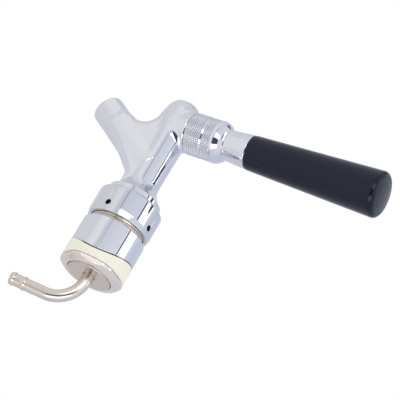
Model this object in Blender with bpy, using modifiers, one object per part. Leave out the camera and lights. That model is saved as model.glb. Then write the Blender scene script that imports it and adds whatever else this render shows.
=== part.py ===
"""Beer tap with a ball lever, a knurled bonnet and a column shank.

The shank lies along X and the handle stands along Z. The origin is on the shank's
axis, at the crown of the saddle where the tap seats on the front of its column.
Lengths are in millimetres here and in metres in the scene.
"""
import math

import bmesh
import bpy
import numpy as np
from mathutils import Matrix, Vector

MM = 0.001
GAP = 0.3                     # clearance between pieces that touch
CHAMFER = 0.8                 # on thread ends and the shank's head
EDGE = 0.5                    # on plain turned edges
OVERRUN = 2.0                 # how far a cutter runs past what it cuts

# Column and the pieces that clamp it
COLUMN_R = 36.0
TAIL_ROLL = 11.5              # degrees the shank is turned in its coupling
SHANK_THREAD_R = 13.9
SHANK_BORE_R = 5.0
SHANK_HEAD_WALL = 3.0         # how far the head stands out past the thread
SHANK_PROUD = 0.6
SHANK_POCKET_WALL = 1.4       # room round the seal in the shank's pocket
SHANK_POCKET_SPARE = 1.5      # room behind the shaft at full stroke
SHANK_POCKET_TAPER = 2.0
SLEEVE_WALL = 5.5
SLEEVE_LENGTH = 14.9
WASHER_PROUD = 0.2            # the washer is this much wider than the sleeve
SADDLE_WASHER_LENGTH = 11.3
HEX_CUT = 1.4                 # how far the flats lie inside the washer's edge
HEX_LENGTH = 3.7
HEX_BEVEL = 2.0
HEX_TURN = 5.5

# Coupling nut
COUPLING_WALL = 2.8
COUPLING_CHAMFER = 0.7
COUPLING_LENGTH = 18.1
COUPLING_LIP = 3.0
COUPLING_GROOVE = 3.8         # open neck between the sleeve and the nut
COUPLING_TAPER = 3.3
COUPLING_TAPER_DROP = 0.8
SPANNER_HOLE_R = 1.8
SPANNER_HOLE_DEPTH = 2.0
SPANNER_HOLE_SET = 13.0
SPANNER_HOLE_TURN = -10.4
SPANNER_HOLES = 4
COUPLING_WASHER_LENGTH = 2.0
COUPLING_WASHER_PROUD = 0.6
RING_GROOVE_SET = 1.0         # snap ring's groove, from the tail's rear end
RING_GROOVE_LENGTH = 1.9
RING_GROOVE_DEPTH = 1.2
RING_PROUD = 2.0
RING_SPLIT = 4.0

# Tap body
TAIL_R = 12.5
TAIL_LENGTH = 6.1
FLANGE_R = 16.6
FLANGE_EDGE = 4.1
FLARE_LENGTH = 11.6
BARREL_R = 9.7
NOSE_R = 10.8
NOSE_LENGTH = 63.8            # nose centre from the flange
VALVE_BORE_R = 6.4
VALVE_BORE_LENGTH = 67.0
SEAT_DEPTH = 2.0
WEB_HALF = 9.2
WEB_EDGE = 5.0
WEB_FRONT_DROP = 0.4          # the web's front floor lies this far under the nose
WEB_REAR_DROP = 1.9           # and its rear floor this far under the barrel
WEB_REAR_ANGLE = 45.0         # slope of its rear edge, which starts where the flare ends
WEB_REAR_INSET = 0.6          # the rear edge ends this far inside the spout's side
WEB_FRONT_PROUD = 0.1         # the front edge stands this far in front of the spout
WEB_FOOT_INSET = 1.9          # its foot is this much narrower than the spout
WEB_REAR_START = 3.4          # from the end of the flange's edge
WEB_INSIDE = 4.0              # its upper side, inside the barrel
WEB_NOSE_INSET = 0.7          # it follows the nose round, this far inside it,
WEB_NOSE_START = -70.0        # between these angles
WEB_NOSE_END = -30.0
WEB_FILLET_FRONT = 9.4
WEB_SHORT = 11.0              # the web stops this far above the spout's mouth
WEB_FILLET_REAR = 7.0
WEB_FILLET_LONG = 45.0        # where the rear edge runs into the spout
SPOUT_ANGLE = 33.0            # degrees forward of straight down
SPOUT_ROOT = 24.5             # where its axis leaves the barrel's axis
SPOUT_LENGTH = 55.4
SPOUT_TIP_R = 9.5
SPOUT_ROOT_R = 9.7
SPOUT_TAPER_LENGTH = 40.0
SPOUT_BORE_TIP_R = 7.2
SPOUT_BORE_ROOT_R = 6.1
SPOUT_LIP = 0.9
BOSS_R = 12.4
BOSS_WAIST_R = 10.9
BOSS_RIM = 1.2
BOSS_ROOT = 4.86              # the boss reaches this far under the barrel's axis
NECK_R = 10.6
CHAMBER_R = 8.7
CHAMBER_TAPER = 1.5
CHAMBER_FLOOR = 1.5
THROAT_R = 6.8
SEAT_POCKET_R = 8.3
SEAT_POCKET_DEPTH = 2.8
THROAT_LENGTH = 4.2

# Lever, its ball and its handle
HANDLE_SET = 56.8             # handle axis from the flange
PIVOT_HEIGHT = 22.3
NECK_DROP = 3.3               # the neck ends this far under the ball's centre
LEVER_SWING = 20.0
BALL_R = 7.2
STEM_R = 3.2
ARM_R = 2.2
TIP_R = 2.6
STUD_R = 4.6
STUD_SHORT = 2.5              # its end, from the insert's upper end
STUD_SET = 2.2                # its shoulder stands this far above the dome
STUD_TAPER = 1.4
COLLAR_R = 12.8
COLLAR_DOME_R = 15.85
COLLAR_WALL = 2.85
KNURL_DEPTH = 0.45
KNURL_TEETH = 40
COLLAR_FOOT = 1.0
COLLAR_BAND = 3.75            # smooth band between knurl and dome
KNURL_GROOVE = 1.2
KNURL_UPPER = 5.0
KNURL_SEAT = 0.05             # the knurled bands stop this far short of the grooves
KNURL_WALL = 0.6
FERRULE_BASE_R = 9.3
FERRULE_TOP_R = 10.5
FERRULE_TOP = 50.5
FERRULE_EDGE = 0.4
GRIP_TOP = 137.6
GRIP_BASE_R = 10.6
GRIP_TOP_R = 14.2
GRIP_EDGE = 3.0
GRIP_CROWN = 1.2
INSERT_R = 6.3
INSERT_LENGTH = 14.0

# Valve shaft
SHAFT_R = 2.5
SHAFT_STEP = 0.6              # the shaft's thinner rear end is this much less in radius
SHAFT_CONE = 1.4
PISTON_R = 6.1
PISTON_EDGE = 0.6
PISTON_START = 41.0
PISTON_LENGTH = 23.5
ORING_SECTION = 0.7
ORING_SET = 3.6
ORING_SLACK = 0.05
SEAL_R = 7.8
SEAL_LENGTH = 4.0
SEAL_RIM = 1.6
SEAL_SINK = 0.1               # its front lies this far inside the seat's cone
SEAL_NUT_R = 4.3
SEAL_NUT_LENGTH = 3.0
SHAFT_END = 0.8

# Outlet tail
TUBE_R = 3.75
TUBE_BORE_R = 2.6
TUBE_SOCKET = 10.0
TUBE_STRAIGHT = 3.0
TUBE_BEND_R = 17.6
TUBE_LEG = 39.6
BARB_RISE = 0.4
BARB_PITCH = 7.0

# Places that follow from the sizes above
STUD_TOP = FERRULE_TOP + INSERT_LENGTH - STUD_SHORT
BOSS_TOP = NOSE_R
NECK_TOP = PIVOT_HEIGHT - NECK_DROP
SEAT_POCKET_FLOOR = NECK_TOP - SEAT_POCKET_DEPTH
CHAMBER_TOP = SEAT_POCKET_FLOOR - THROAT_LENGTH
DOME_BASE = PIVOT_HEIGHT + math.sqrt(COLLAR_DOME_R ** 2 - COLLAR_R ** 2)
KNURL_LOW = BOSS_TOP + GAP + COLLAR_FOOT
KNURL_HIGH = DOME_BASE - COLLAR_BAND
KNURL_LOWER = KNURL_HIGH - KNURL_UPPER - KNURL_GROOVE - KNURL_LOW
SHANK_HEAD_R = SHANK_THREAD_R + SHANK_HEAD_WALL
COUPLING_R = SHANK_HEAD_R + GAP + COUPLING_WALL
SLEEVE_R = SHANK_THREAD_R + GAP + SLEEVE_WALL
SADDLE_WASHER_R = SLEEVE_R + WASHER_PROUD
HEX_TURNED_R = SADDLE_WASHER_R
HEX_FLAT_R = HEX_TURNED_R - HEX_CUT
NUT_REAR = SLEEVE_LENGTH + COUPLING_GROOVE
FLANGE_X = NUT_REAR + COUPLING_LENGTH
HANDLE_X = FLANGE_X + HANDLE_SET
BODY_REAR = FLANGE_X + GAP - TAIL_LENGTH
WASHER_REAR = BODY_REAR - GAP - COUPLING_WASHER_LENGTH
SHANK_FRONT = WASHER_REAR - GAP
HEX_FRONT = -SADDLE_WASHER_LENGTH - 2 * GAP
SHANK_REAR = HEX_FRONT - HEX_LENGTH - SHANK_PROUD
STROKE = PIVOT_HEIGHT * math.sin(math.radians(LEVER_SWING))
SLOPE = math.radians(SPOUT_ANGLE)
SPOUT_DOWN = Vector((math.sin(SLOPE), 0.0, -math.cos(SLOPE)))
SPOUT_SIDE = Vector((math.cos(SLOPE), 0.0, math.sin(SLOPE)))


def clear_scene():
    """Remove every object of the start-up scene."""
    for item in list(bpy.data.objects):
        bpy.data.objects.remove(item, do_unlink=True)


def collection(name):
    """A new collection in the scene."""
    made = bpy.data.collections.new(name)
    bpy.context.scene.collection.children.link(made)
    return made


def material(name, colour, metallic, roughness):
    """A Principled material with one colour."""
    made = bpy.data.materials.new(name)
    made.use_nodes = True
    shader = made.node_tree.nodes["Principled BSDF"]
    shader.inputs["Base Color"].default_value = (*colour, 1.0)
    shader.inputs["Metallic"].default_value = metallic
    shader.inputs["Roughness"].default_value = roughness
    made.diffuse_color = (*colour, 1.0)
    return made


def add_object(name, mesh, group, mat=None):
    """Put a mesh in a collection under its node's name."""
    made = bpy.data.objects.new(name, mesh)
    group.objects.link(made)
    if mat is not None:
        mesh.materials.append(mat)
    return made


def along_x(item):
    """Turn an object so that its own Z runs along the shank."""
    item.rotation_euler = (0.0, math.radians(90.0), 0.0)
    return item


def arc(centre, radius, start, end, count):
    """Points (r, h) along an arc; angles in degrees from the r axis."""
    angles = np.radians(np.linspace(start, end, count))
    return [(centre[0] + radius * math.cos(a), centre[1] + radius * math.sin(a)) for a in angles]


def turned(name, profile, group, mat=None, steps=32, start=0.0):
    """A turned piece: (r, h) in mm, down the outer side and back up the bore.

    The profile starts at an angle, in degrees, about its axis, so that the facets
    of a cutter can straddle the plane of symmetry.
    """
    on_axis = profile[0][0] == 0.0 and profile[-1][0] == 0.0
    mesh = bpy.data.meshes.new(name)
    first = math.radians(start)
    points = [(r * math.cos(first) * MM, r * math.sin(first) * MM, h * MM) for r, h in profile]
    edges = [(i, i + 1) for i in range(len(points) - 1)]
    if not on_axis:
        edges.append((len(points) - 1, 0))
    mesh.from_pydata(points, edges, [])
    made = add_object(name, mesh, group, mat)
    screw = made.modifiers.new("Turn", "SCREW")
    screw.steps = steps
    screw.render_steps = steps
    screw.use_merge_vertices = True
    screw.merge_threshold = 0.00001
    screw.use_smooth_shade = True
    return made


def rod(name, radius, start, end, group, steps=32, tip_radius=None):
    """A round rod, or a cone, from one point to another, in mm."""
    start, end = Vector(start), Vector(end)
    span = end - start
    mesh = bpy.data.meshes.new(name)
    work = bmesh.new()
    bmesh.ops.create_cone(work, cap_ends=True, segments=steps, radius1=radius * MM,
                          radius2=(radius if tip_radius is None else tip_radius) * MM,
                          depth=span.length * MM)
    work.to_mesh(mesh)
    work.free()
    made = add_object(name, mesh, group)
    made.rotation_euler = span.to_track_quat("Z", "Y").to_euler()
    made.location = (start + end) * 0.5 * MM
    return made


def block(name, size, centre, group):
    """A box of a given size about a centre, in mm."""
    mesh = bpy.data.meshes.new(name)
    work = bmesh.new()
    bmesh.ops.create_cube(work, size=1.0)
    bmesh.ops.scale(work, vec=Vector(size) * MM, verts=work.verts)
    work.to_mesh(mesh)
    work.free()
    made = add_object(name, mesh, group)
    made.location = Vector(centre) * MM
    return made


def combine(target, other, operation):
    """Join, cut or trim one object by another, which becomes a guide."""
    step = target.modifiers.new(operation.title(), "BOOLEAN")
    step.operation = operation
    step.solver = "EXACT"
    step.object = other
    other.hide_render = True
    other.display_type = "WIRE"
    return target


def as_mesh(curve_object, group, name):
    """The curve's surface as a mesh object with its caps welded."""
    bpy.context.view_layer.update()
    graph = bpy.context.evaluated_depsgraph_get()
    mesh = bpy.data.meshes.new_from_object(curve_object.evaluated_get(graph))
    work = bmesh.new()
    work.from_mesh(mesh)
    bmesh.ops.remove_doubles(work, verts=work.verts, dist=0.00001)
    bmesh.ops.recalc_face_normals(work, faces=work.faces)
    work.to_mesh(mesh)
    work.free()
    place = curve_object.matrix_world.copy()
    bpy.data.objects.remove(curve_object, do_unlink=True)
    made = add_object(name, mesh, group)
    made.matrix_world = place
    return made


def smooth(item, angle=35.0):
    """Shade round faces smooth and keep the sharp edges."""
    item.data.shade_smooth()
    item.data.set_sharp_from_angle(angle=math.radians(angle))
    return item


# Tap body

def barrel_radius(x):
    """Radius of the turned barrel at a distance from the flange."""
    edge = FLANGE_EDGE
    flare_end = edge + FLARE_LENGTH
    if x <= flare_end:
        share = (flare_end - x) / FLARE_LENGTH
        return BARREL_R + (FLANGE_R - BARREL_R) * share ** 2
    share = (x - flare_end) / (NOSE_LENGTH - flare_end)
    return BARREL_R + (NOSE_R - BARREL_R) * share ** 2.4


def barrel_profile():
    """Nose, barrel, flare, flange and tail, from the front to the rear."""
    nose = arc((0.0, NOSE_LENGTH), NOSE_R, 90.0, 0.0, 8)
    nose[0] = (0.0, nose[0][1])
    flare_end = FLANGE_EDGE + FLARE_LENGTH
    stations = list(np.linspace(NOSE_LENGTH, flare_end, 6)[1:])
    stations += list(np.linspace(flare_end, FLANGE_EDGE, 7)[1:])
    barrel = [(barrel_radius(x), x) for x in stations]
    rim = [(FLANGE_R, GAP), (TAIL_R, GAP)]
    tail = [(TAIL_R, GAP - TAIL_LENGTH), (0.0, GAP - TAIL_LENGTH)]
    return nose + barrel + rim + tail


def fillet(corner, before, after, radius, count=10):
    """Points of an arc that rounds a corner.

    Where a wall beside it is short, the arc leaves the web's edge radius of it
    straight, or half of it if that is more.
    """
    a = (before - corner).normalized()
    b = (after - corner).normalized()
    half = a.angle(b) / 2.0
    wall = min((before - corner).length, (after - corner).length)
    room = max(wall - WEB_EDGE, wall / 2.0)
    radius = min(radius, room * math.tan(half))
    bisector = (a + b).normalized()
    centre = corner + bisector * (radius / math.sin(half))
    middle = math.atan2(-bisector.y, -bisector.x)
    spread = math.pi / 2.0 - half
    turn = -spread if a.cross(b) > 0.0 else spread
    angles = np.linspace(middle - turn, middle + turn, count)
    return [centre + Vector((math.cos(t), math.sin(t))) * radius for t in angles]


def web_outline():
    """The flat web between barrel and spout: its filleted outline in (x, z)."""
    down = Vector((SPOUT_DOWN.x, SPOUT_DOWN.z))
    side = Vector((SPOUT_SIDE.x, SPOUT_SIDE.z))
    root = Vector((SPOUT_ROOT, 0.0))
    foot = root + down * (SPOUT_LENGTH - WEB_SHORT)
    foot_half = side * (SPOUT_TIP_R - WEB_FOOT_INSET)
    floor = -NOSE_R - WEB_FRONT_DROP
    front = foot + side * (SPOUT_TIP_R + WEB_FRONT_PROUD)
    front_corner = front - down * ((front.y - floor) / down.y)
    nose_low = Vector((NOSE_LENGTH + WEB_EDGE / 2.0, floor))
    points = [foot - foot_half, foot + foot_half]
    points += fillet(front_corner, front, nose_low, WEB_FILLET_FRONT, 9)
    round_nose = NOSE_R - WEB_NOSE_INSET
    points += [Vector(p) for p in arc((NOSE_LENGTH, 0.0), round_nose, WEB_NOSE_START, WEB_NOSE_END, 5)]
    turn_r = WEB_EDGE + GAP
    turn = Matrix.Rotation(math.radians(WEB_NOSE_END), 2) @ Vector((round_nose - turn_r, 0.0))
    points += [Vector(p) for p in arc((NOSE_LENGTH + turn.x, turn.y), turn_r, 0.0, 90.0, 4)]
    flare_low = Vector((FLANGE_EDGE + WEB_REAR_START, -BARREL_R - WEB_REAR_DROP))
    heel = Vector((FLANGE_EDGE + FLARE_LENGTH, flare_low.y))
    slope = Vector((math.cos(math.radians(WEB_REAR_ANGLE)), -math.sin(math.radians(WEB_REAR_ANGLE))))
    short = (root - heel).dot(side) - (SPOUT_TIP_R - WEB_REAR_INSET)
    ankle = heel + slope * (short / slope.dot(side))
    points += [Vector((FLANGE_EDGE + 2.0 * WEB_REAR_START, WEB_INSIDE)), flare_low]
    points += fillet(heel, flare_low, ankle, WEB_FILLET_REAR, 6)
    points += fillet(ankle, heel, foot - foot_half, WEB_FILLET_LONG, 4)
    return points


def web(group):
    """The web as a flat outline with broad rounded edges."""
    curve = bpy.data.curves.new("web_outline", "CURVE")
    curve.dimensions = "2D"
    curve.fill_mode = "BOTH"
    curve.extrude = (WEB_HALF - WEB_EDGE) * MM
    curve.bevel_depth = WEB_EDGE * MM
    curve.bevel_resolution = 3
    curve.offset = -WEB_EDGE * MM
    spline = curve.splines.new("POLY")
    outline = web_outline()
    spline.points.add(len(outline) - 1)
    for point, place in zip(spline.points, outline):
        point.co = (place.x * MM, place.y * MM, 0.0, 1.0)
    spline.use_cyclic_u = True
    item = bpy.data.objects.new("web_outline", curve)
    group.objects.link(item)
    item.rotation_euler = (math.radians(90.0), 0.0, 0.0)
    item.location = (FLANGE_X * MM, 0.0, 0.0)
    return as_mesh(item, group, "web")


def boss_profile():
    """Boss under the bonnet with the neck that the bonnet screws on."""
    low = -BOSS_ROOT
    waist = [(BOSS_WAIST_R + (BOSS_R - BOSS_WAIST_R) * t ** 0.7, low + (BOSS_TOP - BOSS_RIM - low) * t)
             for t in np.linspace(1.0, 0.0, 7)]
    return ([(0.0, NECK_TOP), (NECK_R - EDGE, NECK_TOP), (NECK_R, NECK_TOP - EDGE), (NECK_R, BOSS_TOP),
             (BOSS_R - EDGE, BOSS_TOP), (BOSS_R, BOSS_TOP - EDGE)] + waist + [(0.0, low)])


def spout_point(distance):
    """A point on the spout's axis, at a distance from the barrel's axis."""
    return Vector((FLANGE_X + SPOUT_ROOT, 0.0, 0.0)) + SPOUT_DOWN * distance


def spout_profile():
    """Outer side of the spout from the barrel's axis to its rounded lip."""
    tip = SPOUT_LENGTH
    lip = [(SPOUT_TIP_R - SPOUT_LIP + SPOUT_LIP * math.sin(a), tip - SPOUT_LIP + SPOUT_LIP * math.cos(a))
           for a in np.radians([0.0, 30.0, 60.0, 90.0])]
    root = SPOUT_LENGTH - SPOUT_TAPER_LENGTH
    side = [(SPOUT_TIP_R + (SPOUT_ROOT_R - SPOUT_TIP_R) * share, tip - share * SPOUT_TAPER_LENGTH)
            for share in (0.35, 0.68, 1.0)]
    inside = root * 0.4
    return [(0.0, tip)] + lip + side + [(SPOUT_ROOT_R, inside), (0.0, inside)]


def tap_body(group, cutters, mat):
    """Barrel, web, spout and boss in one casting, with its bores."""
    body = along_x(turned("tap_body", barrel_profile(), group, mat, 36))
    body.location.x = FLANGE_X * MM
    combine(body, web(cutters), "UNION")
    spout = turned("spout", spout_profile(), cutters, None, 32, 5.0)
    spout.rotation_euler = SPOUT_DOWN.to_track_quat("Z", "Y").to_euler()
    spout.location = spout_point(0.0) * MM
    combine(body, spout, "UNION")
    boss = turned("boss", boss_profile(), cutters, None, 36, 4.5)
    boss.location.x = HANDLE_X * MM
    combine(body, boss, "UNION")
    bore_end = BODY_REAR + VALVE_BORE_LENGTH + TAIL_LENGTH
    before = BODY_REAR - OVERRUN
    bore = [(0.0, bore_end), (VALVE_BORE_R, bore_end), (VALVE_BORE_R, BODY_REAR + SEAT_DEPTH),
            (VALVE_BORE_R + SEAT_DEPTH + OVERRUN, before), (0.0, before)]
    combine(body, along_x(turned("valve_bore", bore, cutters, None, 28, 6.0)), "DIFFERENCE")
    combine(body, rod("spout_bore", SPOUT_BORE_ROOT_R, spout_point(EDGE), spout_point(SPOUT_LENGTH + OVERRUN),
                      cutters, 30, SPOUT_BORE_TIP_R), "DIFFERENCE")
    above = NECK_TOP + OVERRUN
    chamber = [(0.0, above), (SEAT_POCKET_R, above), (SEAT_POCKET_R, SEAT_POCKET_FLOOR),
               (THROAT_R, SEAT_POCKET_FLOOR), (THROAT_R, CHAMBER_TOP),
               (CHAMBER_R, CHAMBER_TOP - CHAMBER_TAPER), (CHAMBER_R, CHAMBER_FLOOR), (0.0, CHAMBER_FLOOR)]
    hollow = turned("lever_chamber", chamber, cutters, None, 28, 3.2)
    hollow.location.x = HANDLE_X * MM
    combine(body, hollow, "DIFFERENCE")
    groove_x = BODY_REAR + RING_GROOVE_SET
    depth = TAIL_R - RING_GROOVE_DEPTH
    groove = [(TAIL_R + RING_PROUD, groove_x + RING_GROOVE_LENGTH), (TAIL_R + RING_PROUD, groove_x),
              (depth, groove_x), (depth, groove_x + RING_GROOVE_LENGTH)]
    combine(body, along_x(turned("snap_ring_groove", groove, cutters, None, 40, 4.5)), "DIFFERENCE")
    return body


# Lever, ball joint and handle

def knurled_collar(group, cutters, mat):
    """Domed bonnet with two knurled bands and a slot for the lever."""
    foot = BOSS_TOP + GAP
    root = COLLAR_R - KNURL_DEPTH
    bore = NECK_R + GAP
    inner = COLLAR_DOME_R - COLLAR_WALL
    start = math.degrees(math.acos(COLLAR_R / COLLAR_DOME_R))
    dome = arc((0.0, PIVOT_HEIGHT), COLLAR_DOME_R, 90.0, start, 6)
    dome[0] = (0.0, dome[0][1])
    under = arc((0.0, PIVOT_HEIGHT), inner, math.degrees(math.acos(bore / inner)), 90.0, 5)
    under[-1] = (0.0, under[-1][1])
    body = [(COLLAR_R, KNURL_HIGH), (root, KNURL_HIGH), (root, KNURL_LOW), (root - EDGE, foot), (bore, foot)]
    collar = turned("knurled_collar", dome + body + under, group, mat, 36, 2.0)
    collar.location.x = HANDLE_X * MM
    for name, low, length in (("knurl_lower", KNURL_LOW, KNURL_LOWER),
                              ("knurl_upper", KNURL_HIGH - KNURL_UPPER, KNURL_UPPER)):
        combine(collar, knurl_band(name, low, length, cutters), "UNION")
    combine(collar, lever_slot(cutters), "DIFFERENCE")
    return collar


def knurl_band(name, low, length, group):
    """A ring of straight teeth: a star outline of even teeth, extruded."""
    bore = NECK_R + GAP + KNURL_WALL
    low, length = low + KNURL_SEAT, length - 2 * KNURL_SEAT
    mesh = bpy.data.meshes.new(name)
    work = bmesh.new()
    count = KNURL_TEETH * 2
    angles = [2.0 * math.pi * i / count for i in range(count)]
    crest, foot = COLLAR_R, COLLAR_R - KNURL_DEPTH - KNURL_SEAT
    outer = [((crest if i % 2 == 0 else foot) * math.cos(a), (crest if i % 2 == 0 else foot) * math.sin(a))
             for i, a in enumerate(angles)]
    inner = [(bore * math.cos(a), bore * math.sin(a)) for a in angles]
    rings = []
    for shape, height in ((outer, low + length), (outer, low), (inner, low), (inner, low + length)):
        rings.append([work.verts.new((x * MM, y * MM, height * MM)) for x, y in shape])
    for ring, following in zip(rings, rings[1:] + rings[:1]):
        for i in range(count):
            j = (i + 1) % count
            work.faces.new((ring[i], following[i], following[j], ring[j]))
    bmesh.ops.recalc_face_normals(work, faces=work.faces)
    work.to_mesh(mesh)
    work.free()
    made = add_object(name, mesh, group)
    made.location.x = HANDLE_X * MM
    return made


def lever_slot(group):
    """Round-ended slot in the dome, as long as the stem's swing."""
    half = STEM_R + GAP
    reach = COLLAR_DOME_R * math.sin(math.radians(LEVER_SWING))
    outline = [(reach + half * math.cos(a), half * math.sin(a)) for a in np.radians(np.linspace(-90, 90, 13))]
    outline += [(half * math.cos(a), half * math.sin(a)) for a in np.radians(np.linspace(90, 270, 13))]
    curve = bpy.data.curves.new("lever_slot", "CURVE")
    curve.dimensions = "2D"
    curve.fill_mode = "BOTH"
    curve.extrude = COLLAR_DOME_R * 0.5 * MM
    spline = curve.splines.new("POLY")
    spline.points.add(len(outline) - 1)
    for point, (x, y) in zip(spline.points, outline):
        point.co = (x * MM, y * MM, 0.0, 1.0)
    spline.use_cyclic_u = True
    item = bpy.data.objects.new("lever_slot", curve)
    group.objects.link(item)
    item.location = (HANDLE_X * MM, 0.0, (PIVOT_HEIGHT + COLLAR_DOME_R) * MM)
    return as_mesh(item, group, "lever_slot_cutter")


def lever_stem(group, mat):
    """Stud, neck, ball, arm and tip of the lever, in one turned piece."""
    upper = math.degrees(math.acos(STEM_R / BALL_R))
    lower = math.degrees(math.acos(ARM_R / BALL_R))
    tip = math.degrees(math.acos(ARM_R * 0.9 / TIP_R))
    shoulder = COLLAR_DOME_R + STUD_SET
    end = STUD_TOP - PIVOT_HEIGHT
    profile = [(0.0, end), (STUD_R - CHAMFER, end), (STUD_R, end - CHAMFER), (STUD_R, shoulder),
               (STEM_R, shoulder - STUD_TAPER)]
    profile += arc((0.0, 0.0), BALL_R, upper, -lower, 13)
    profile += arc((0.0, -PIVOT_HEIGHT), TIP_R, tip, -90.0, 7)
    profile[-1] = (0.0, profile[-1][1])
    return turned("lever_stem", profile, group, mat, 20)


def ferrule(group, mat):
    """Conical collar between bonnet and grip, hollowed to ride over the dome."""
    bore = STUD_R + GAP
    hollow = COLLAR_DOME_R + GAP
    low = math.degrees(math.acos((FERRULE_BASE_R - 0.3) / hollow))
    high = math.degrees(math.acos(bore / hollow))
    under = arc((0.0, 0.0), hollow, low, high, 6)
    top = FERRULE_TOP - PIVOT_HEIGHT
    profile = [(FERRULE_TOP_R - FERRULE_EDGE, top), (FERRULE_TOP_R, top - FERRULE_EDGE),
               (FERRULE_BASE_R, under[0][1] + FERRULE_EDGE)]
    return turned("handle_ferrule", profile + under + [(bore, top)], group, mat, 32)


def grip(group, mat):
    """Tapered handle with a rounded, slightly domed end and a socket below."""
    top = GRIP_TOP - PIVOT_HEIGHT
    base = FERRULE_TOP + GAP - PIVOT_HEIGHT
    edge = arc((GRIP_TOP_R - GRIP_EDGE, top - GRIP_CROWN - GRIP_EDGE), GRIP_EDGE, 80.0, 0.0, 6)
    pocket = INSERT_R + GAP
    depth = base + INSERT_LENGTH + 2 * GAP
    profile = [(0.0, top), (GRIP_TOP_R * 0.4, top - GRIP_CROWN * 0.2)] + edge
    profile += [(GRIP_BASE_R, base + EDGE), (GRIP_BASE_R - EDGE, base)]
    profile += [(pocket, base), (pocket, depth), (0.0, depth)]
    return turned("handle_grip", profile, group, mat, 32)


def grip_insert(group, mat):
    """Threaded brass insert moulded into the grip."""
    base = FERRULE_TOP + 2 * GAP - PIVOT_HEIGHT
    top = base + INSERT_LENGTH - GAP
    bore = STUD_R + GAP
    profile = [(INSERT_R, top), (INSERT_R, base), (bore, base), (bore, top)]
    return turned("grip_insert", profile, group, mat, 24)


def ball_seats(group, mat_upper, mat_lower):
    """Friction ring over the ball and seat ring under it."""
    clear = BALL_R + GAP
    hole = STEM_R * 2.0
    ring = NECK_R
    inner = COLLAR_DOME_R - COLLAR_WALL - GAP
    crest = math.sqrt(inner ** 2 - ring ** 2)
    touch = math.degrees(math.acos(hole / clear))
    bowl = arc((0.0, 0.0), clear, 1.0, touch, 6)
    bowl.append((hole, crest))
    upper = turned("friction_ring", [(ring, crest), (ring, bowl[0][1])] + bowl, group, mat_upper, 24)
    seat = SEAT_POCKET_R - GAP
    floor = SEAT_POCKET_FLOOR + GAP - PIVOT_HEIGHT
    shelf = NECK_TOP + GAP - PIVOT_HEIGHT
    cup = arc((0.0, 0.0), clear, -touch, -1.5, 6)
    rim = NECK_R - GAP
    low = [(rim, cup[-1][1]), (rim, shelf), (seat, shelf), (seat, floor), (hole, floor)]
    lower = turned("ball_seat", low + cup, group, mat_lower, 24)
    for item in (upper, lower):
        item.location = (HANDLE_X * MM, 0.0, PIVOT_HEIGHT * MM)
    return upper, lower


# Valve shaft and its seals

def valve_shaft(group, cutters, mat):
    """Rod with a guide piston, an O-ring groove and a slot for the lever tip."""
    seal_front = seal_stations()[0]
    start = FLANGE_X + PISTON_START
    end = start + PISTON_LENGTH
    groove = start + ORING_SET
    half = ORING_SECTION + GAP
    bottom = VALVE_BORE_R - 2.0 * (ORING_SECTION + GAP + ORING_SLACK)
    rear = seal_stations()[2] - SHAFT_END
    thin = SHAFT_R - SHAFT_STEP
    step = seal_front + GAP
    profile = [(0.0, end), (PISTON_R - PISTON_EDGE, end), (PISTON_R, end - PISTON_EDGE)]
    profile += [(PISTON_R, groove + half), (bottom, groove + half), (bottom, groove - half)]
    profile += [(PISTON_R, groove - half), (PISTON_R, start + PISTON_EDGE), (PISTON_R - PISTON_EDGE, start)]
    profile += [(SHAFT_R + SHAFT_CONE, start), (SHAFT_R, start - SHAFT_CONE), (SHAFT_R, step)]
    profile += [(thin, step - SHAFT_STEP), (thin, rear), (0.0, rear)]
    shaft = along_x(turned("valve_shaft", profile, group, mat, 24, 4.0))
    width = 2.0 * (TIP_R + GAP)
    floor = -TIP_R - GAP
    height = VALVE_BORE_R + 1.0 - floor
    slot = block("tip_slot", (width, width + 2 * GAP, height), (HANDLE_X, 0.0, floor + height / 2.0), cutters)
    combine(shaft, slot, "DIFFERENCE")
    lean = math.radians(LEVER_SWING)
    rise = PIVOT_HEIGHT * (1.0 - math.cos(lean))
    reach = 2.0 * VALVE_BORE_R
    centre = Vector((HANDLE_X, 0.0, rise)) + Vector((math.sin(lean), 0.0, math.cos(lean))) * reach / 2.0
    relief = block("arm_relief", (2.0 * (ARM_R + GAP), width + 2 * GAP, reach), centre, cutters)
    relief.rotation_euler = (0.0, lean, 0.0)
    return combine(shaft, relief, "DIFFERENCE")


def seal_stations():
    """Front of the seal, its rear, and the rear of its nut."""
    front = BODY_REAR + SEAT_DEPTH - SEAL_SINK
    rear = front - SEAL_LENGTH - SEAL_RIM
    return front, rear, rear - GAP - SEAL_NUT_LENGTH


def seat_seal(group, mat):
    """Rubber cone that closes the seat from the supply side."""
    front, rear, _ = seal_stations()
    lean = GAP * math.sqrt(2.0)
    seat_line = VALVE_BORE_R + BODY_REAR + SEAT_DEPTH - lean
    nose = seat_line - front
    shoulder = seat_line - SEAL_R
    hole = SHAFT_R - SHAFT_STEP + GAP
    profile = [(nose, front), (SEAL_R, shoulder), (SEAL_R, rear + EDGE), (SEAL_R - EDGE, rear), (hole, rear),
               (hole, front)]
    return along_x(turned("seat_seal", profile, group, mat, 28))


def seal_nut(group, mat):
    """Hexagon nut that holds the seal on the shaft."""
    _, rear, nut_rear = seal_stations()
    hole = SHAFT_R - SHAFT_STEP + GAP
    nut = rod("seal_nut", SEAL_NUT_R, (nut_rear, 0, 0), (rear - GAP, 0, 0), group, 6)
    nut.data.materials.append(mat)
    return nut, hole


def o_ring(name, ring_r, section, x, group, mat):
    """A round rubber ring about the shank's axis."""
    made = along_x(turned(name, arc((ring_r, 0.0), section, 0.0, -300.0, 6), group, mat, 24))
    made.location.x = x * MM
    return made


# Coupling, shank and column pieces

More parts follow.
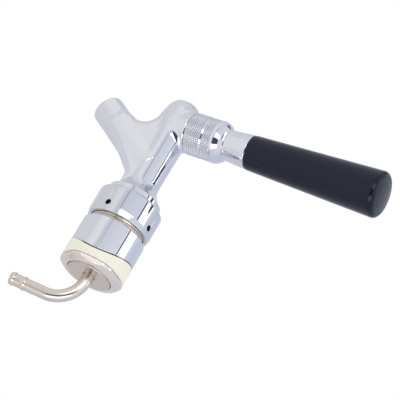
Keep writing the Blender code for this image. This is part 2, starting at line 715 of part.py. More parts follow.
def coupling_nut(group, cutters, mat):
    """Round coupling nut with a tapered rear edge and blind spanner holes."""
    bore = SHANK_HEAD_R + GAP
    lip = TAIL_R + GAP
    profile = [(COUPLING_R - COUPLING_CHAMFER, FLANGE_X), (COUPLING_R, FLANGE_X - COUPLING_CHAMFER),
               (COUPLING_R, NUT_REAR + COUPLING_TAPER), (COUPLING_R - COUPLING_TAPER_DROP, NUT_REAR),
               (bore, NUT_REAR), (bore, FLANGE_X - COUPLING_LIP), (lip, FLANGE_X - COUPLING_LIP),
               (lip, FLANGE_X)]
    nut = along_x(turned("coupling_nut", profile, group, mat, 40))
    for i in range(SPANNER_HOLES):
        angle = math.radians(SPANNER_HOLE_TURN + 360.0 / SPANNER_HOLES * i)
        out = Vector((0.0, math.cos(angle), math.sin(angle)))
        centre = Vector((FLANGE_X - SPANNER_HOLE_SET, 0.0, 0.0))
        drill = rod(f"spanner_hole_{i}", SPANNER_HOLE_R, centre + out * (COUPLING_R - SPANNER_HOLE_DEPTH),
                    centre + out * (COUPLING_R + 2.0), cutters, 16)
        combine(nut, drill, "DIFFERENCE")
    return nut


def snap_ring(group, cutters, mat):
    """Split spring ring in the tail's groove, which the nut pulls against."""
    x = BODY_REAR + RING_GROOVE_SET + GAP
    length = RING_GROOVE_LENGTH - 2 * GAP
    inner = TAIL_R - RING_GROOVE_DEPTH + GAP
    outer = TAIL_R + RING_PROUD
    profile = [(outer, x + length), (outer, x), (inner, x), (inner, x + length)]
    ring = along_x(turned("snap_ring", profile, group, mat, 32, 5.6))
    middle = (x + length / 2.0, 0.0, -TAIL_R)
    split = block("snap_ring_split", (2.0 * length, RING_SPLIT, TAIL_R), middle, cutters)
    combine(ring, split, "DIFFERENCE")
    return ring


def shank(group, mat):
    """Threaded shank: wide head, long thread, valve pocket and tube socket."""
    front, rear = SHANK_FRONT, SHANK_REAR
    head_rear = SLEEVE_LENGTH + GAP
    pocket = SEAL_R + SHANK_POCKET_WALL
    floor = seal_stations()[2] - SHAFT_END - STROKE - SHANK_POCKET_SPARE
    socket = TUBE_R + GAP
    profile = [(SHANK_HEAD_R - CHAMFER, front), (SHANK_HEAD_R, front - CHAMFER), (SHANK_HEAD_R, head_rear),
               (SHANK_THREAD_R, head_rear), (SHANK_THREAD_R, rear + CHAMFER),
               (SHANK_THREAD_R - CHAMFER, rear),
               (socket, rear), (socket, rear + TUBE_SOCKET), (TUBE_BORE_R, rear + TUBE_SOCKET),
               (SHANK_BORE_R, floor - SHANK_POCKET_TAPER), (pocket, floor), (pocket, front)]
    return along_x(turned("shank", profile, group, mat, 36))


def coupling_washer(group, mat):
    """Flat rubber washer between the body's tail and the shank."""
    front, rear = BODY_REAR - GAP, WASHER_REAR
    outer, inner = TAIL_R + COUPLING_WASHER_PROUD, SEAL_R + SHANK_POCKET_WALL
    return along_x(turned("coupling_washer", [(outer, front), (outer, rear), (inner, rear), (inner, front)],
                          group, mat, 28))


def column(name, radius, group, steps=96):
    """The column that the saddle fits, as a guide upright in the turned frame."""
    half = COLUMN_R
    made = rod(name, radius, (-COLUMN_R, 0.0, -half), (-COLUMN_R, 0.0, half), group, steps)
    return made


def saddle_depth(radius):
    """How far the column's front falls back at a distance from its crown."""
    return COLUMN_R - math.sqrt(COLUMN_R ** 2 - radius ** 2)


def shank_sleeve(group, cutters, roll, mat):
    """Chrome spacer whose rear end is cut to the column's front."""
    bore = SHANK_THREAD_R + GAP
    rear = -saddle_depth(SLEEVE_R) - EDGE
    profile = [(SLEEVE_R - EDGE, SLEEVE_LENGTH), (SLEEVE_R, SLEEVE_LENGTH - EDGE), (SLEEVE_R, rear),
               (bore, rear), (bore, SLEEVE_LENGTH)]
    sleeve = along_x(turned("shank_sleeve", profile, group, mat, 40))
    guide = column("column_outside", COLUMN_R, cutters)
    for item in (sleeve, guide):
        item.parent = roll
    return combine(sleeve, guide, "DIFFERENCE")


def saddle_washer(group, cutters, roll, mat):
    """Plastic washer that fills the inside of the column behind the sleeve."""
    bore = SHANK_THREAD_R + GAP
    rear = -GAP - SADDLE_WASHER_LENGTH
    profile = [(SADDLE_WASHER_R, OVERRUN), (SADDLE_WASHER_R, rear + EDGE), (SADDLE_WASHER_R - EDGE, rear),
               (bore, rear), (bore, OVERRUN)]
    washer = along_x(turned("saddle_washer", profile, group, mat, 40))
    guide = column("column_inside", COLUMN_R - GAP, cutters)
    for item in (washer, guide):
        item.parent = roll
    return combine(washer, guide, "INTERSECT")


def shank_nut(group, cutters, roll, mat):
    """Hexagon nut with chamfered corners."""
    flat = HEX_FLAT_R
    corner = flat / math.cos(math.pi / 6.0)
    front, rear = HEX_FRONT, HEX_FRONT - HEX_LENGTH
    nut = rod("shank_nut", corner, (rear, 0, 0), (front, 0, 0), group, 6)
    nut.data.materials.append(mat)
    nut.data.transform(Matrix.Rotation(math.radians(HEX_TURN), 4, "Z"))
    edge = HEX_TURNED_R
    envelope = [(0.0, front), (edge - EDGE, front), (edge, front - EDGE), (edge, rear + HEX_BEVEL),
                (flat - HEX_BEVEL, rear), (0.0, rear)]
    trim = along_x(turned("nut_chamfer", envelope, cutters, None, 36, 2.0))
    bore = rod("nut_bore", SHANK_THREAD_R + GAP, (rear - 2.0, 0, 0), (front + 2.0, 0, 0), cutters, 40)
    for item in (nut, trim, bore):
        item.parent = roll
    combine(nut, trim, "INTERSECT")
    return combine(nut, bore, "DIFFERENCE")


def tube_path():
    """Centre line of the bent tail: (x, z) from its socket to its tip."""
    start = SHANK_REAR + TUBE_SOCKET - GAP
    bend_start = SHANK_REAR - TUBE_STRAIGHT
    leg_x = bend_start - TUBE_BEND_R
    straight = [(start, 0.0), (bend_start + 3.0, 0.0)]
    bend = [(leg_x + TUBE_BEND_R * (1.0 - math.sin(a)), -TUBE_BEND_R * (1.0 - math.cos(a)))
            for a in np.radians(np.linspace(0.0, 90.0, 12))]
    return straight, bend, leg_x


def tube_curve(name, points, radii, group):
    """A round tube along a centre line with its own radius at each point."""
    curve = bpy.data.curves.new(name, "CURVE")
    curve.dimensions = "3D"
    curve.bevel_depth = MM
    curve.bevel_resolution = 3
    curve.use_fill_caps = True
    spline = curve.splines.new("POLY")
    spline.points.add(len(points) - 1)
    for point, (x, z), radius in zip(spline.points, points, radii):
        point.co = (x * MM, 0.0, z * MM, 1.0)
        point.radius = radius
    item = bpy.data.objects.new(name, curve)
    group.objects.link(item)
    return as_mesh(item, group, name)


def tail_elbow(group, cutters, roll, mat):
    """Bent tube that leaves the shank and takes the hose on two barbs."""
    straight, bend, leg_x = tube_path()
    points = straight + bend
    radii = [TUBE_R] * len(points)
    for i in (1, 0):
        foot = -TUBE_LEG + i * BARB_PITCH + 2.6
        for drop, rise in ((0.0, 0.0), (0.3, BARB_RISE), (1.0, BARB_RISE), (2.6, -0.15 if i == 0 else 0.0)):
            points.append((leg_x, foot - drop))
            radii.append(TUBE_R + rise)
    tube = tube_curve("tail_elbow", points, radii, group)
    tube.data.materials.append(mat)
    inner = [(straight[0][0] + 2.0, 0.0)] + straight[1:] + bend + [(leg_x, -TUBE_LEG - 2.0)]
    bore = tube_curve("tail_bore", inner, [TUBE_BORE_R] * len(inner), cutters)
    for item in (tube, bore):
        item.parent = roll
    return combine(tube, bore, "DIFFERENCE")


def main():
    """Build the whole tap."""
    clear_scene()
    parts = collection("beer_tap")
    cutters = collection("cutters")
    chrome = material("chrome_plate", (0.78, 0.80, 0.84), 1.0, 0.08)
    lever = bpy.data.objects.new("lever_pivot", None)
    plunger = bpy.data.objects.new("plunger_axis", None)
    roll = bpy.data.objects.new("shank_roll", None)
    for empty in (lever, plunger, roll):
        parts.objects.link(empty)
    lever.location = (HANDLE_X * MM, 0.0, PIVOT_HEIGHT * MM)
    roll.rotation_euler = (math.radians(TAIL_ROLL), 0.0, 0.0)

    smooth(tap_body(parts, cutters, chrome))
    knurled_collar(parts, cutters, material("knurled_chrome", (0.74, 0.75, 0.78), 1.0, 0.2))
    coupling_nut(parts, cutters, material("coupling_chrome", (0.77, 0.79, 0.83), 1.0, 0.1))
    shank_sleeve(parts, cutters, roll, material("sleeve_chrome", (0.76, 0.78, 0.83), 1.0, 0.1))
    shank(parts, material("nickelled_brass", (0.62, 0.56, 0.48), 1.0, 0.3)).parent = roll
    saddle_washer(parts, cutters, roll, material("cream_plastic", (0.84, 0.83, 0.74), 0.0, 0.45))
    shank_nut(parts, cutters, roll, material("stainless_nut", (0.62, 0.58, 0.54), 1.0, 0.3))
    tail_elbow(parts, cutters, roll, material("stainless_tube", (0.66, 0.63, 0.60), 1.0, 0.25))
    snap_ring(parts, cutters, material("spring_steel", (0.5, 0.5, 0.5), 1.0, 0.35))
    coupling_washer(parts, material("washer_rubber", (0.05, 0.05, 0.05), 0.0, 0.7))

    handle_pieces = [lever_stem(parts, material("stem_steel", (0.65, 0.65, 0.66), 1.0, 0.25)),
                     ferrule(parts, material("ferrule_chrome", (0.80, 0.81, 0.84), 1.0, 0.07)),
                     grip(parts, material("black_grip", (0.028, 0.03, 0.036), 0.0, 0.2)),
                     grip_insert(parts, material("insert_brass", (0.72, 0.55, 0.27), 1.0, 0.35))]
    for item in handle_pieces:
        item.parent = lever
    ball_seats(parts, material("friction_plastic", (0.85, 0.85, 0.83), 0.0, 0.5),
               material("seat_plastic", (0.80, 0.80, 0.78), 0.0, 0.5))

    shaft = valve_shaft(parts, cutters, material("shaft_steel", (0.62, 0.62, 0.63), 1.0, 0.25))
    seal = seat_seal(parts, material("seal_rubber", (0.06, 0.06, 0.06), 0.0, 0.65))
    nut, hole = seal_nut(parts, material("seal_nut_steel", (0.58, 0.58, 0.6), 1.0, 0.3))
    drill = rod("seal_nut_bore", hole, (0, 0, 0), (FLANGE_X, 0, 0), cutters, 20)
    combine(nut, drill, "DIFFERENCE")
    rubber = material("ring_rubber", (0.04, 0.04, 0.04), 0.0, 0.6)
    ring = o_ring("shaft_o_ring", VALVE_BORE_R - GAP - ORING_SECTION - ORING_SLACK, ORING_SECTION,
                  FLANGE_X + PISTON_START + ORING_SET, parts, rubber)
    for item in (shaft, seal, nut, ring):
        item.parent = plunger


if __name__ == "__main__":
    main()
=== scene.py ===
"""Looks of the beer tap: smooth chrome, knurl, threads, plastics and the studio.

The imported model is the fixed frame. Sizes of the tap's pieces are in millimetres, in
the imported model's own frame: X forward along the shank, Z up along the handle, and
the origin on the shank's axis at the crown of the column saddle. A mesh is turned to
metres when it is made. The studio's places and distances are in metres.
"""

import logging
import math
from collections.abc import Callable
from dataclasses import dataclass, field
from enum import Enum

import bpy
import numpy as np
from mathutils import Matrix, Vector


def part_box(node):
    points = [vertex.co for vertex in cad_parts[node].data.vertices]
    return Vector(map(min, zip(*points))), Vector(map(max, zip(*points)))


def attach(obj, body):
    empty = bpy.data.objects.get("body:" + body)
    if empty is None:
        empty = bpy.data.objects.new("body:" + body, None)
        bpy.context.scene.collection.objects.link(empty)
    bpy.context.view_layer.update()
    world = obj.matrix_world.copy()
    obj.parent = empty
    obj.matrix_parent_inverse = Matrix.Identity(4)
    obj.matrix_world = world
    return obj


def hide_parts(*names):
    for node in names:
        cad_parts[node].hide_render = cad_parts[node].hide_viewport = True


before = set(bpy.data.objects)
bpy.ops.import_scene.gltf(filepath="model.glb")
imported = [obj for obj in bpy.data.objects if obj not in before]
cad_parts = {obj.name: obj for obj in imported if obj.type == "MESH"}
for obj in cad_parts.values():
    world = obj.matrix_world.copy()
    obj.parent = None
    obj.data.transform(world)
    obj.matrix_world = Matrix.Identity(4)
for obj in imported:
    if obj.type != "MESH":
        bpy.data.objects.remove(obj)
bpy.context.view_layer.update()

MM = 0.001
Array = np.ndarray
Pair = tuple[float, float]
Triple = tuple[float, float, float]
Field = Callable[[Array], Array]
log = logging.getLogger("beer_tap")


class Body(Enum):
    """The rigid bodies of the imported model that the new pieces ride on."""

    TAP = "tap"
    LEVER = "lever"


# Numbers that several pieces share, in millimetres and degrees

FLANGE_X = 36.8
HANDLE_X = 93.6
PIVOT_Z = 22.3
DOME_R = 15.85
COLUMN_R = 36.0
TAIL_ROLL = 11.5
CLEARANCE = 0.3
NEAR_AXIS = 0.05
SHARP_ANGLE = 35.0

# An arc takes at most ARC_SHARE of the shorter run beside its corner. The run is held
# flat for GUARD beyond each end of the arc, or for GUARD_SHARE of the arc's room where
# that is less.
ARC_SHARE = 0.45
GUARD = 0.15
GUARD_SHARE = 0.3


# Shapes worked out as arrays

def arc_between(centre: Array, first: Array, last: Array, count: int) -> Array:
    """Points round a centre from the tip of one radius to the tip of another.

    The first radius is turned by even shares of the angle between the two.

    Args:
        centre: middle of the arc in mm.
        first: radius from the centre to the first point.
        last: radius from the centre to the last point.
        count: number of points.

    Returns:
        (count, 2) points in mm.
    """
    turn = math.atan2(first[0] * last[1] - first[1] * last[0], float(first @ last))
    angles = turn * np.linspace(0.0, 1.0, count)
    cos, sin = np.cos(angles), np.sin(angles)
    return centre + np.stack([first[0] * cos - first[1] * sin, first[0] * sin + first[1] * cos], axis=1)


def rounded(corners: list[Triple], closed: bool = True, steps: int = 5) -> Array:
    """Profile through corners, each rounded by an arc.

    A corner with radius q between two straight runs is replaced by the arc of
    radius q that touches both, which leaves its runs q / tan(half angle) before and
    after the corner. A point close to each end of an arc keeps the runs flat.

    Args:
        corners: (r, h, rounding radius) of each corner, in mm.
        closed: whether the last corner joins the first.
        steps: number of stretches in each arc.

    Returns:
        Array of (r, h) points in mm.
    """
    count = len(corners)
    points = []
    for i, (r, h, radius) in enumerate(corners):
        here = np.array([r, h])
        at_end = not closed and i in (0, count - 1)
        if radius <= 0.0 or at_end:
            points.append(here[None])
            continue
        before = np.array(corners[i - 1][:2]) - here
        after = np.array(corners[(i + 1) % count][:2]) - here
        room = ARC_SHARE * min(np.linalg.norm(before), np.linalg.norm(after))
        before, after = before / np.linalg.norm(before), after / np.linalg.norm(after)
        half = math.acos(float(np.clip(before @ after, -1.0, 1.0))) / 2.0
        reach = min(radius / math.tan(half), room)
        radius = reach * math.tan(half)
        bisector = (before + after) / np.linalg.norm(before + after)
        centre = here + bisector * radius / math.sin(half)
        first, last = here + before * reach - centre, here + after * reach - centre
        guard = min(GUARD, GUARD_SHARE * room)
        points.append((here + before * (reach + guard))[None])
        points.append(arc_between(centre, first, last, steps + 1))
        points.append((here + after * (reach + guard))[None])
    return np.concatenate(points)


def arc_points(centre: Pair, radius: float, start: float, end: float, count: int) -> Array:
    """Points (r, h) along an arc.

    Args:
        centre: middle of the arc in mm.
        radius: its radius in mm.
        start: first angle in degrees from the r axis.
        end: last angle in degrees.
        count: number of points.

    Returns:
        Array of (r, h) points in mm.
    """
    angles = np.radians(np.linspace(start, end, count))
    return np.stack([centre[0] + radius * np.cos(angles), centre[1] + radius * np.sin(angles)], axis=1)


def revolve(profile: Array, count: int) -> Array:
    """Rings of a turned shape: each profile point (r, h) becomes (r cos t, r sin t, h).

    Args:
        profile: (n, 2) radii and heights in mm.
        count: points around each ring.

    Returns:
        (n, count, 3) array in mm, in the shape's own frame.
    """
    angles = np.linspace(0.0, 2.0 * math.pi, count, endpoint=False)
    radius, height = profile[:, :1], profile[:, 1:]
    rings = [radius * np.cos(angles), radius * np.sin(angles), height + 0.0 * angles]
    return np.stack(rings, axis=-1)


def along_shank(rings: Array, roll: float = 0.0) -> Array:
    """Turn a shape so that its height runs along X and its angle starts at +Y.

    Args:
        rings: points in the shape's own frame, in mm.
        roll: turn about X in degrees.

    Returns:
        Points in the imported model's frame, in mm.
    """
    a, b, h = rings[..., 0], rings[..., 1], rings[..., 2]
    cos, sin = math.cos(math.radians(roll)), math.sin(math.radians(roll))
    return np.stack([h, a * cos - b * sin, a * sin + b * cos], axis=-1)


def up_handle(rings: Array) -> Array:
    """Move a shape whose height runs along Z to the handle's axis, in mm."""
    return rings + np.array([HANDLE_X, 0.0, 0.0])


def unit(vectors: Array) -> Array:
    """Each vector divided by its own length."""
    return vectors / np.maximum(np.linalg.norm(vectors, axis=-1, keepdims=True), 1e-12)


def solid_mesh(name: str, points: Array, faces: list[Array], normals: Array) -> bpy.types.Object:
    """Mesh object from whole arrays, with smooth normals and faces that point outwards.

    The volume is the sum over triangles of a . (b x c) / 6. Where it comes out
    negative, faces and normals are turned round.

    Args:
        name: name of the piece.
        points: (n, 3) vertices in mm.
        faces: arrays of vertex indices, one array for quads and one for triangles.
        normals: (n, 3) unit normals.

    Returns:
        The new object, at the origin.
    """
    volume = 0.0
    for group in faces:
        for k in range(1, group.shape[1] - 1):
            a, b, c = points[group[:, 0]], points[group[:, k]], points[group[:, k + 1]]
            volume += float(np.sum(a * np.cross(b, c))) / 6.0
    if volume < 0.0:
        faces = [group[:, ::-1] for group in faces]
    middle = [faces[0][:, i] for i in range(3)]
    facing = np.cross(points[middle[1]] - points[middle[0]], points[middle[2]] - points[middle[0]])
    if float(np.sum(facing * normals[middle[0]])) < 0.0:
        normals = -normals
    mesh = bpy.data.meshes.new(name)
    mesh.from_pydata(points * MM, [], [face for group in faces for face in group.tolist()])
    mesh.polygons.foreach_set("use_smooth", np.ones(len(mesh.polygons), bool))
    mesh.normals_split_custom_set_from_vertices(normals)
    mesh.update()
    made = bpy.data.objects.new(name, mesh)
    bpy.context.scene.collection.objects.link(made)
    return made


def ring_solid(name: str, rings: Array, closed: bool) -> bpy.types.Object:
    """Skin a stack of rings whose columns close on themselves.

    A normal is the cross product of the differences along and around the grid. A
    closed stack joins its last ring to its first, and an open one is shut by a point
    at the middle of each end ring.

    Args:
        name: name of the piece.
        rings: (rows, columns, 3) points in mm.
        closed: whether the stack itself closes, as on a tube's wall.

    Returns:
        The new object.
    """
    rows, columns, _ = rings.shape
    index = np.arange(rows * columns).reshape(rows, columns)
    upper, lower = (index, np.roll(index, -1, axis=0)) if closed else (index[:-1], index[1:])
    quads = np.stack([upper, np.roll(upper, -1, 1), np.roll(lower, -1, 1), lower], axis=-1).reshape(-1, 4)
    if closed:
        along = np.roll(rings, -1, 0) - np.roll(rings, 1, 0)
    else:
        along = np.gradient(rings, axis=0)
    around = np.roll(rings, -1, 1) - np.roll(rings, 1, 1)
    normals = unit(np.cross(along, around)).reshape(-1, 3)
    points = rings.reshape(-1, 3)
    faces = [quads]
    if not closed:
        ends = rings[[0, -1]].mean(axis=1)
        tips = unit(np.stack([rings[0].mean(0) - rings[1].mean(0), rings[-1].mean(0) - rings[-2].mean(0)]))
        flip = -1.0 if float(np.sum(np.cross(along[0], around[0]) * tips[0])) < 0.0 else 1.0
        points = np.concatenate([points, ends])
        normals = np.concatenate([normals, flip * tips])
        first, last = index[0], index[-1]
        top = np.stack([np.full(columns, rows * columns), np.roll(first, -1), first], axis=-1)
        foot = np.stack([np.full(columns, rows * columns + 1), last, np.roll(last, -1)], axis=-1)
        faces.append(np.concatenate([top, foot]))
    return solid_mesh(name, points, faces, normals)


def sweep(path: Array, radii: Array, count: int) -> Array:
    """Rings of a round tube along a path that lies in the XZ plane.

    At each point the ring spans Y and the path's own normal in the plane: the
    tangent (tx, tz) turned by a right angle to (-tz, tx).

    Args:
        path: (n, 2) x and z in mm.
        radii: radius at each point in mm.
        count: points around each ring.

    Returns:
        (n, count, 3) array in mm.
    """
    tangent = unit(np.gradient(path, axis=0))
    side = np.stack([-tangent[:, 1], tangent[:, 0]], axis=-1)
    angles = np.linspace(0.0, 2.0 * math.pi, count, endpoint=False)
    reach = radii[:, None] * np.sin(angles)
    x = path[:, :1] + side[:, :1] * reach
    z = path[:, 1:] + side[:, 1:] * reach
    return np.stack([x, radii[:, None] * np.cos(angles), z], axis=-1)


def surface_net(value: Field, low: Triple, high: Triple, cell: float) -> tuple[Array, Array]:
    """Quads of the surface where a field is zero, one vertex in each mixed cell.

    The field is sampled on a grid. Where it changes sign along a grid edge, the
    crossing is found by linear interpolation, each cell's vertex is the mean of its
    crossings, and the four cells round that edge form a quad.

    Args:
        value: field of (n, 3) points, negative inside.
        low: lowest corner of the grid in mm.
        high: highest corner in mm.
        cell: grid spacing in mm.

    Returns:
        (n, 3) vertices in mm and (m, 4) quads.
    """
    axes = [np.arange(a, b + cell, cell) for a, b in zip(low, high)]
    shape = tuple(len(axis) for axis in axes)
    samples = np.empty(shape)
    for i, x in enumerate(axes[0]):
        y, z = np.meshgrid(axes[1], axes[2], indexing="ij")
        layer = np.stack([np.full(y.shape, x), y, z], axis=-1).reshape(-1, 3)
        samples[i] = value(layer).reshape(shape[1:])
    cells = tuple(n - 1 for n in shape)
    total = np.zeros((*cells, 3))
    hits = np.zeros(cells)
    crossings = []
    for axis in range(3):
        others = [k for k in range(3) if k != axis]
        start = np.take(samples, range(shape[axis] - 1), axis)
        end = np.take(samples, range(1, shape[axis]), axis)
        mixed = (start < 0.0) != (end < 0.0)
        share = np.where(mixed, start / np.where(mixed, start - end, 1.0), 0.0)
        counts = [np.arange(n, dtype=float) for n in mixed.shape]
        place = np.stack(np.meshgrid(*counts, indexing="ij"), -1)
        place[..., axis] += share
        place *= mixed[..., None]
        crossings.append((axis, others, mixed, start < 0.0))
        for da in (0, 1):
            for db in (0, 1):
                cut = [slice(None)] * 3
                cut[others[0]] = slice(da, da + cells[others[0]])
                cut[others[1]] = slice(db, db + cells[others[1]])
                total += place[tuple(cut)]
                hits += mixed[tuple(cut)]
    used = hits > 0
    number = np.full(cells, -1)
    number[used] = np.arange(int(used.sum()))
    vertices = total[used] / hits[used][:, None] * cell + np.array([axis[0] for axis in axes])
    quads = []
    for axis, others, mixed, from_inside in crossings:
        inner = [slice(None)] * 3
        inner[others[0]] = slice(1, -1)
        inner[others[1]] = slice(1, -1)
        where = np.stack(np.nonzero(mixed[tuple(inner)]), axis=-1)
        outward = from_inside[tuple(inner)][tuple(where.T)]
        corners = []
        for da, db in ((0, 0), (1, 0), (1, 1), (0, 1)):
            at = where.copy()
            at[:, others[0]] += da
            at[:, others[1]] += db
            corners.append(number[tuple(at.T)])
        quad = np.stack(corners, axis=-1)
        turned = outward if axis != 1 else ~outward
        quads.append(np.where(turned[:, None], quad, quad[:, ::-1]))
    return vertices, np.concatenate(quads)


def field_slope(value: Field, points: Array, step: float = 0.04) -> Array:
    """Gradient of a field: (f(p + step) - f(p - step)) / (2 step) along each axis.

    Args:
        value: field of (n, 3) points.
        points: (n, 3) points in mm.
        step: half the distance between the two samples, in mm.

    Returns:
        (n, 3) slopes.
    """
    slopes = []
    for axis in range(3):
        shift = np.zeros(3)
        shift[axis] = step
        slopes.append((value(points + shift) - value(points - shift)) / (2.0 * step))
    return np.stack(slopes, axis=-1)


def settle(value: Field, points: Array, rounds: int = 4, longest: float = 0.3,
           flattest: float = 0.05) -> tuple[Array, Array]:
    """Move points onto the surface where a field is zero.

    Each round steps a point by field * slope / |slope|^2.

    Args:
        value: field of (n, 3) points.
        points: (n, 3) points near the surface, in mm.
        rounds: number of steps.
        longest: longest step in mm.
        flattest: least |slope|^2 that is divided by.

    Returns:
        The moved points and the unit normals there.
    """
    for _ in range(rounds):
        slope = field_slope(value, points)
        steepness = np.maximum(np.sum(slope * slope, axis=-1), flattest)
        step = value(points)[:, None] * slope / steepness[:, None]
        length = np.linalg.norm(step, axis=-1, keepdims=True)
        points = points - step * np.minimum(1.0, longest / np.maximum(length, 1e-9))
    return points, unit(field_slope(value, points))


def melt(a: Array, b: Array, width: float) -> Array:
    """Union of two fields whose seam is filled by a soft curve of a given width in mm."""
    share = np.clip(0.5 + 0.5 * (b - a) / width, 0.0, 1.0)
    return b + (a - b) * share - width * share * (1.0 - share)


def fillet_union(a: Array, b: Array, radius: float) -> Array:
    """Union of two fields with a round fillet: r - |(r - a, r - b)| where both are near."""
    near = np.hypot(np.maximum(radius - a, 0.0), np.maximum(radius - b, 0.0))
    return np.maximum(radius, np.minimum(a, b)) - near


def round_edge(d: Array, e: Array, radius: float) -> Array:
    """Field inside two walls whose common edge is rounded.

    With both distances moved in by the radius q, it is
    |(max(d + q, 0), max(e + q, 0))| + min(max(d + q, e + q), 0) - q.

    Args:
        d: distance to the first wall in mm, negative inside.
        e: distance to the second wall.
        radius: radius of the edge.

    Returns:
        Distance to the rounded form in mm.
    """
    d, e = d + radius, e + radius
    return np.hypot(np.maximum(d, 0.0), np.maximum(e, 0.0)) + np.minimum(np.maximum(d, e), 0.0) - radius


def outline_distance(points: Array, outline: Array) -> Array:
    """Signed distance of plane points to a closed outline, negative inside.

    The distance is the least over the edges of |p - a - s (b - a)|, with s the share
    along the edge held between 0 and 1. A point is inside where a ray along the first
    axis crosses the outline an odd number of times.

    Args:
        points: (n, 2) points in mm.
        outline: (m, 2) corners in mm.

    Returns:
        (n,) distances in mm.
    """
    ends = np.roll(outline, -1, axis=0)
    best = np.full(len(points), np.inf)
    inside = np.zeros(len(points), bool)
    for a, b in zip(outline, ends):
        edge = b - a
        share = np.clip((points - a) @ edge / (edge @ edge), 0.0, 1.0)
        best = np.minimum(best, np.hypot(*(points - a - share[:, None] * edge).T))
        crosses = (a[1] > points[:, 1]) != (b[1] > points[:, 1])
        if edge[1] != 0.0:
            inside ^= crosses & (points[:, 0] < a[0] + edge[0] * (points[:, 1] - a[1]) / edge[1])
    return np.where(inside, -best, best)


def cut(item: bpy.types.Object, cutters: list[bpy.types.Object]) -> None:
    """Cut an object by others, which are removed, and make its edges past SHARP_ANGLE sharp.

    Args:
        item: the object to cut.
        cutters: closed objects that take their own shape out of it.
    """
    for cutter in cutters:
        step = item.modifiers.new("Cut", "BOOLEAN")
        step.operation = "DIFFERENCE"
        step.solver = "MANIFOLD"
        step.object = cutter
    bpy.context.view_layer.update()
    graph = bpy.context.evaluated_depsgraph_get()
    item.data = bpy.data.meshes.new_from_object(item.evaluated_get(graph))
    item.modifiers.clear()
    for cutter in cutters:
        bpy.data.objects.remove(cutter, do_unlink=True)
    item.data.shade_smooth()
    item.data.set_sharp_from_angle(angle=math.radians(SHARP_ANGLE))


def paint_shade(item: bpy.types.Object, domain: str, values: Array) -> None:
    """Write the share of painted shade, 0 to 1, that the finish reads, on points or faces."""
    made = item.data.attributes.new("paint_shade", "FLOAT", domain)
    made.data.foreach_set("value", values.astype(np.float32))


def places_of(elements: bpy.types.bpy_prop_collection, name: str) -> Array:
    """Read where the vertices or the faces of a mesh are.

    Args:
        elements: the mesh's vertices or polygons.
        name: their property that holds the place.

    Returns:
        (n, 3) array in mm.
    """
    flat = np.empty(len(elements) * 3)
    elements.foreach_get(name, flat)
    return flat.reshape(-1, 3) / MM


# Finishes

def linear(code: str) -> tuple[float, float, float, float]:
    """Turn an sRGB hex colour into linear RGBA."""
    parts = [int(code[i:i + 2], 16) / 255.0 for i in (0, 2, 4)]
    return (*[c / 12.92 if c <= 0.04045 else ((c + 0.055) / 1.055) ** 2.4 for c in parts], 1.0)


def add_node(tree: bpy.types.NodeTree, kind: str, settings: dict | None = None,
             links: dict | None = None) -> bpy.types.Node:
    """Add a node, set its properties and sockets, and link its inputs.

    Args:
        tree: node tree to add to.
        kind: the node's type name.
        settings: property names, or input names and numbers, with their values.
        links: input names or numbers with the output sockets that feed them.

    Returns:
        The new node.
    """
    node = tree.nodes.new(kind)
    for key, value in (settings or {}).items():
        if isinstance(key, str) and hasattr(node, key):
            setattr(node, key, value)
        else:
            node.inputs[key].default_value = value
    for key, socket in (links or {}).items():
        tree.links.new(socket, node.inputs[key])
    return node


@dataclass(frozen=True)
class Finish:
    """A surface finish: its material's name and sRGB colour, how metallic and how rough it is."""

    name: str
    colour: str
    metallic: float
    roughness: float

    def material(self) -> bpy.types.Material:
        """Make the finish's material once, and share it after that.

        Returns:
            The material.
        """
        known = bpy.data.materials.get(self.name)
        if known is not None:
            return known
        made = bpy.data.materials.new(self.name)
        made.use_nodes = True
        tree = made.node_tree
        shader = tree.nodes["Principled BSDF"]
        shader.inputs["Base Color"].default_value = linear(self.colour)
        shader.inputs["Metallic"].default_value = self.metallic
        shader.inputs["Roughness"].default_value = self.roughness
        made.diffuse_color = linear(self.colour)
        self.detail(tree, shader)
        return made

    def detail(self, tree: bpy.types.NodeTree, shader: bpy.types.Node) -> None:
        """Add the pattern that the real surface shows; a plain finish adds none."""

    def place(self, tree: bpy.types.NodeTree, scale: Triple = (1.0, 1.0, 1.0)) -> bpy.types.NodeSocket:
        """Object coordinates, scaled along each axis.

        Args:
            tree: the material's node tree.
            scale: factor along each axis; a small one draws a pattern out.

        Returns:
            Socket that gives the coordinates.
        """
        where = add_node(tree, "ShaderNodeTexCoord")
        scaled = add_node(tree, "ShaderNodeMapping", {"Scale": scale}, {"Vector": where.outputs["Object"]})
        return scaled.outputs["Vector"]

    def ripple(self, tree: bpy.types.NodeTree, shader: bpy.types.Node, where: bpy.types.NodeSocket,
               size_mm: float, detail: float, gloss: Pair, strength: float, rise_mm: float) -> None:
        """Let one noise vary both the gloss and the height of the surface.

        Args:
            tree: the material's node tree.
            shader: its shader.
            where: coordinates that the noise is read at.
            size_mm: size of the noise's patches in mm.
            detail: how many finer layers lie on top of it.
            gloss: least and most roughness, as shares of the finish's own.
            strength: strength of the bump.
            rise_mm: height of the bump in mm.
        """
        noise = add_node(tree, "ShaderNodeTexNoise", {"Scale": 1.0 / (size_mm * MM), "Detail": detail},
                         {"Vector": where})
        rough = add_node(tree, "ShaderNodeMapRange",
                         {"To Min": self.roughness * gloss[0], "To Max": self.roughness * gloss[1]},
                         {"Value": noise.outputs["Fac"]})
        tree.links.new(rough.outputs["Result"], shader.inputs["Roughness"])
        bump = add_node(tree, "ShaderNodeBump", {"Strength": strength, "Distance": rise_mm * MM},
                        {"Height": noise.outputs["Fac"]})
        tree.links.new(bump.outputs["Normal"], shader.inputs["Normal"])


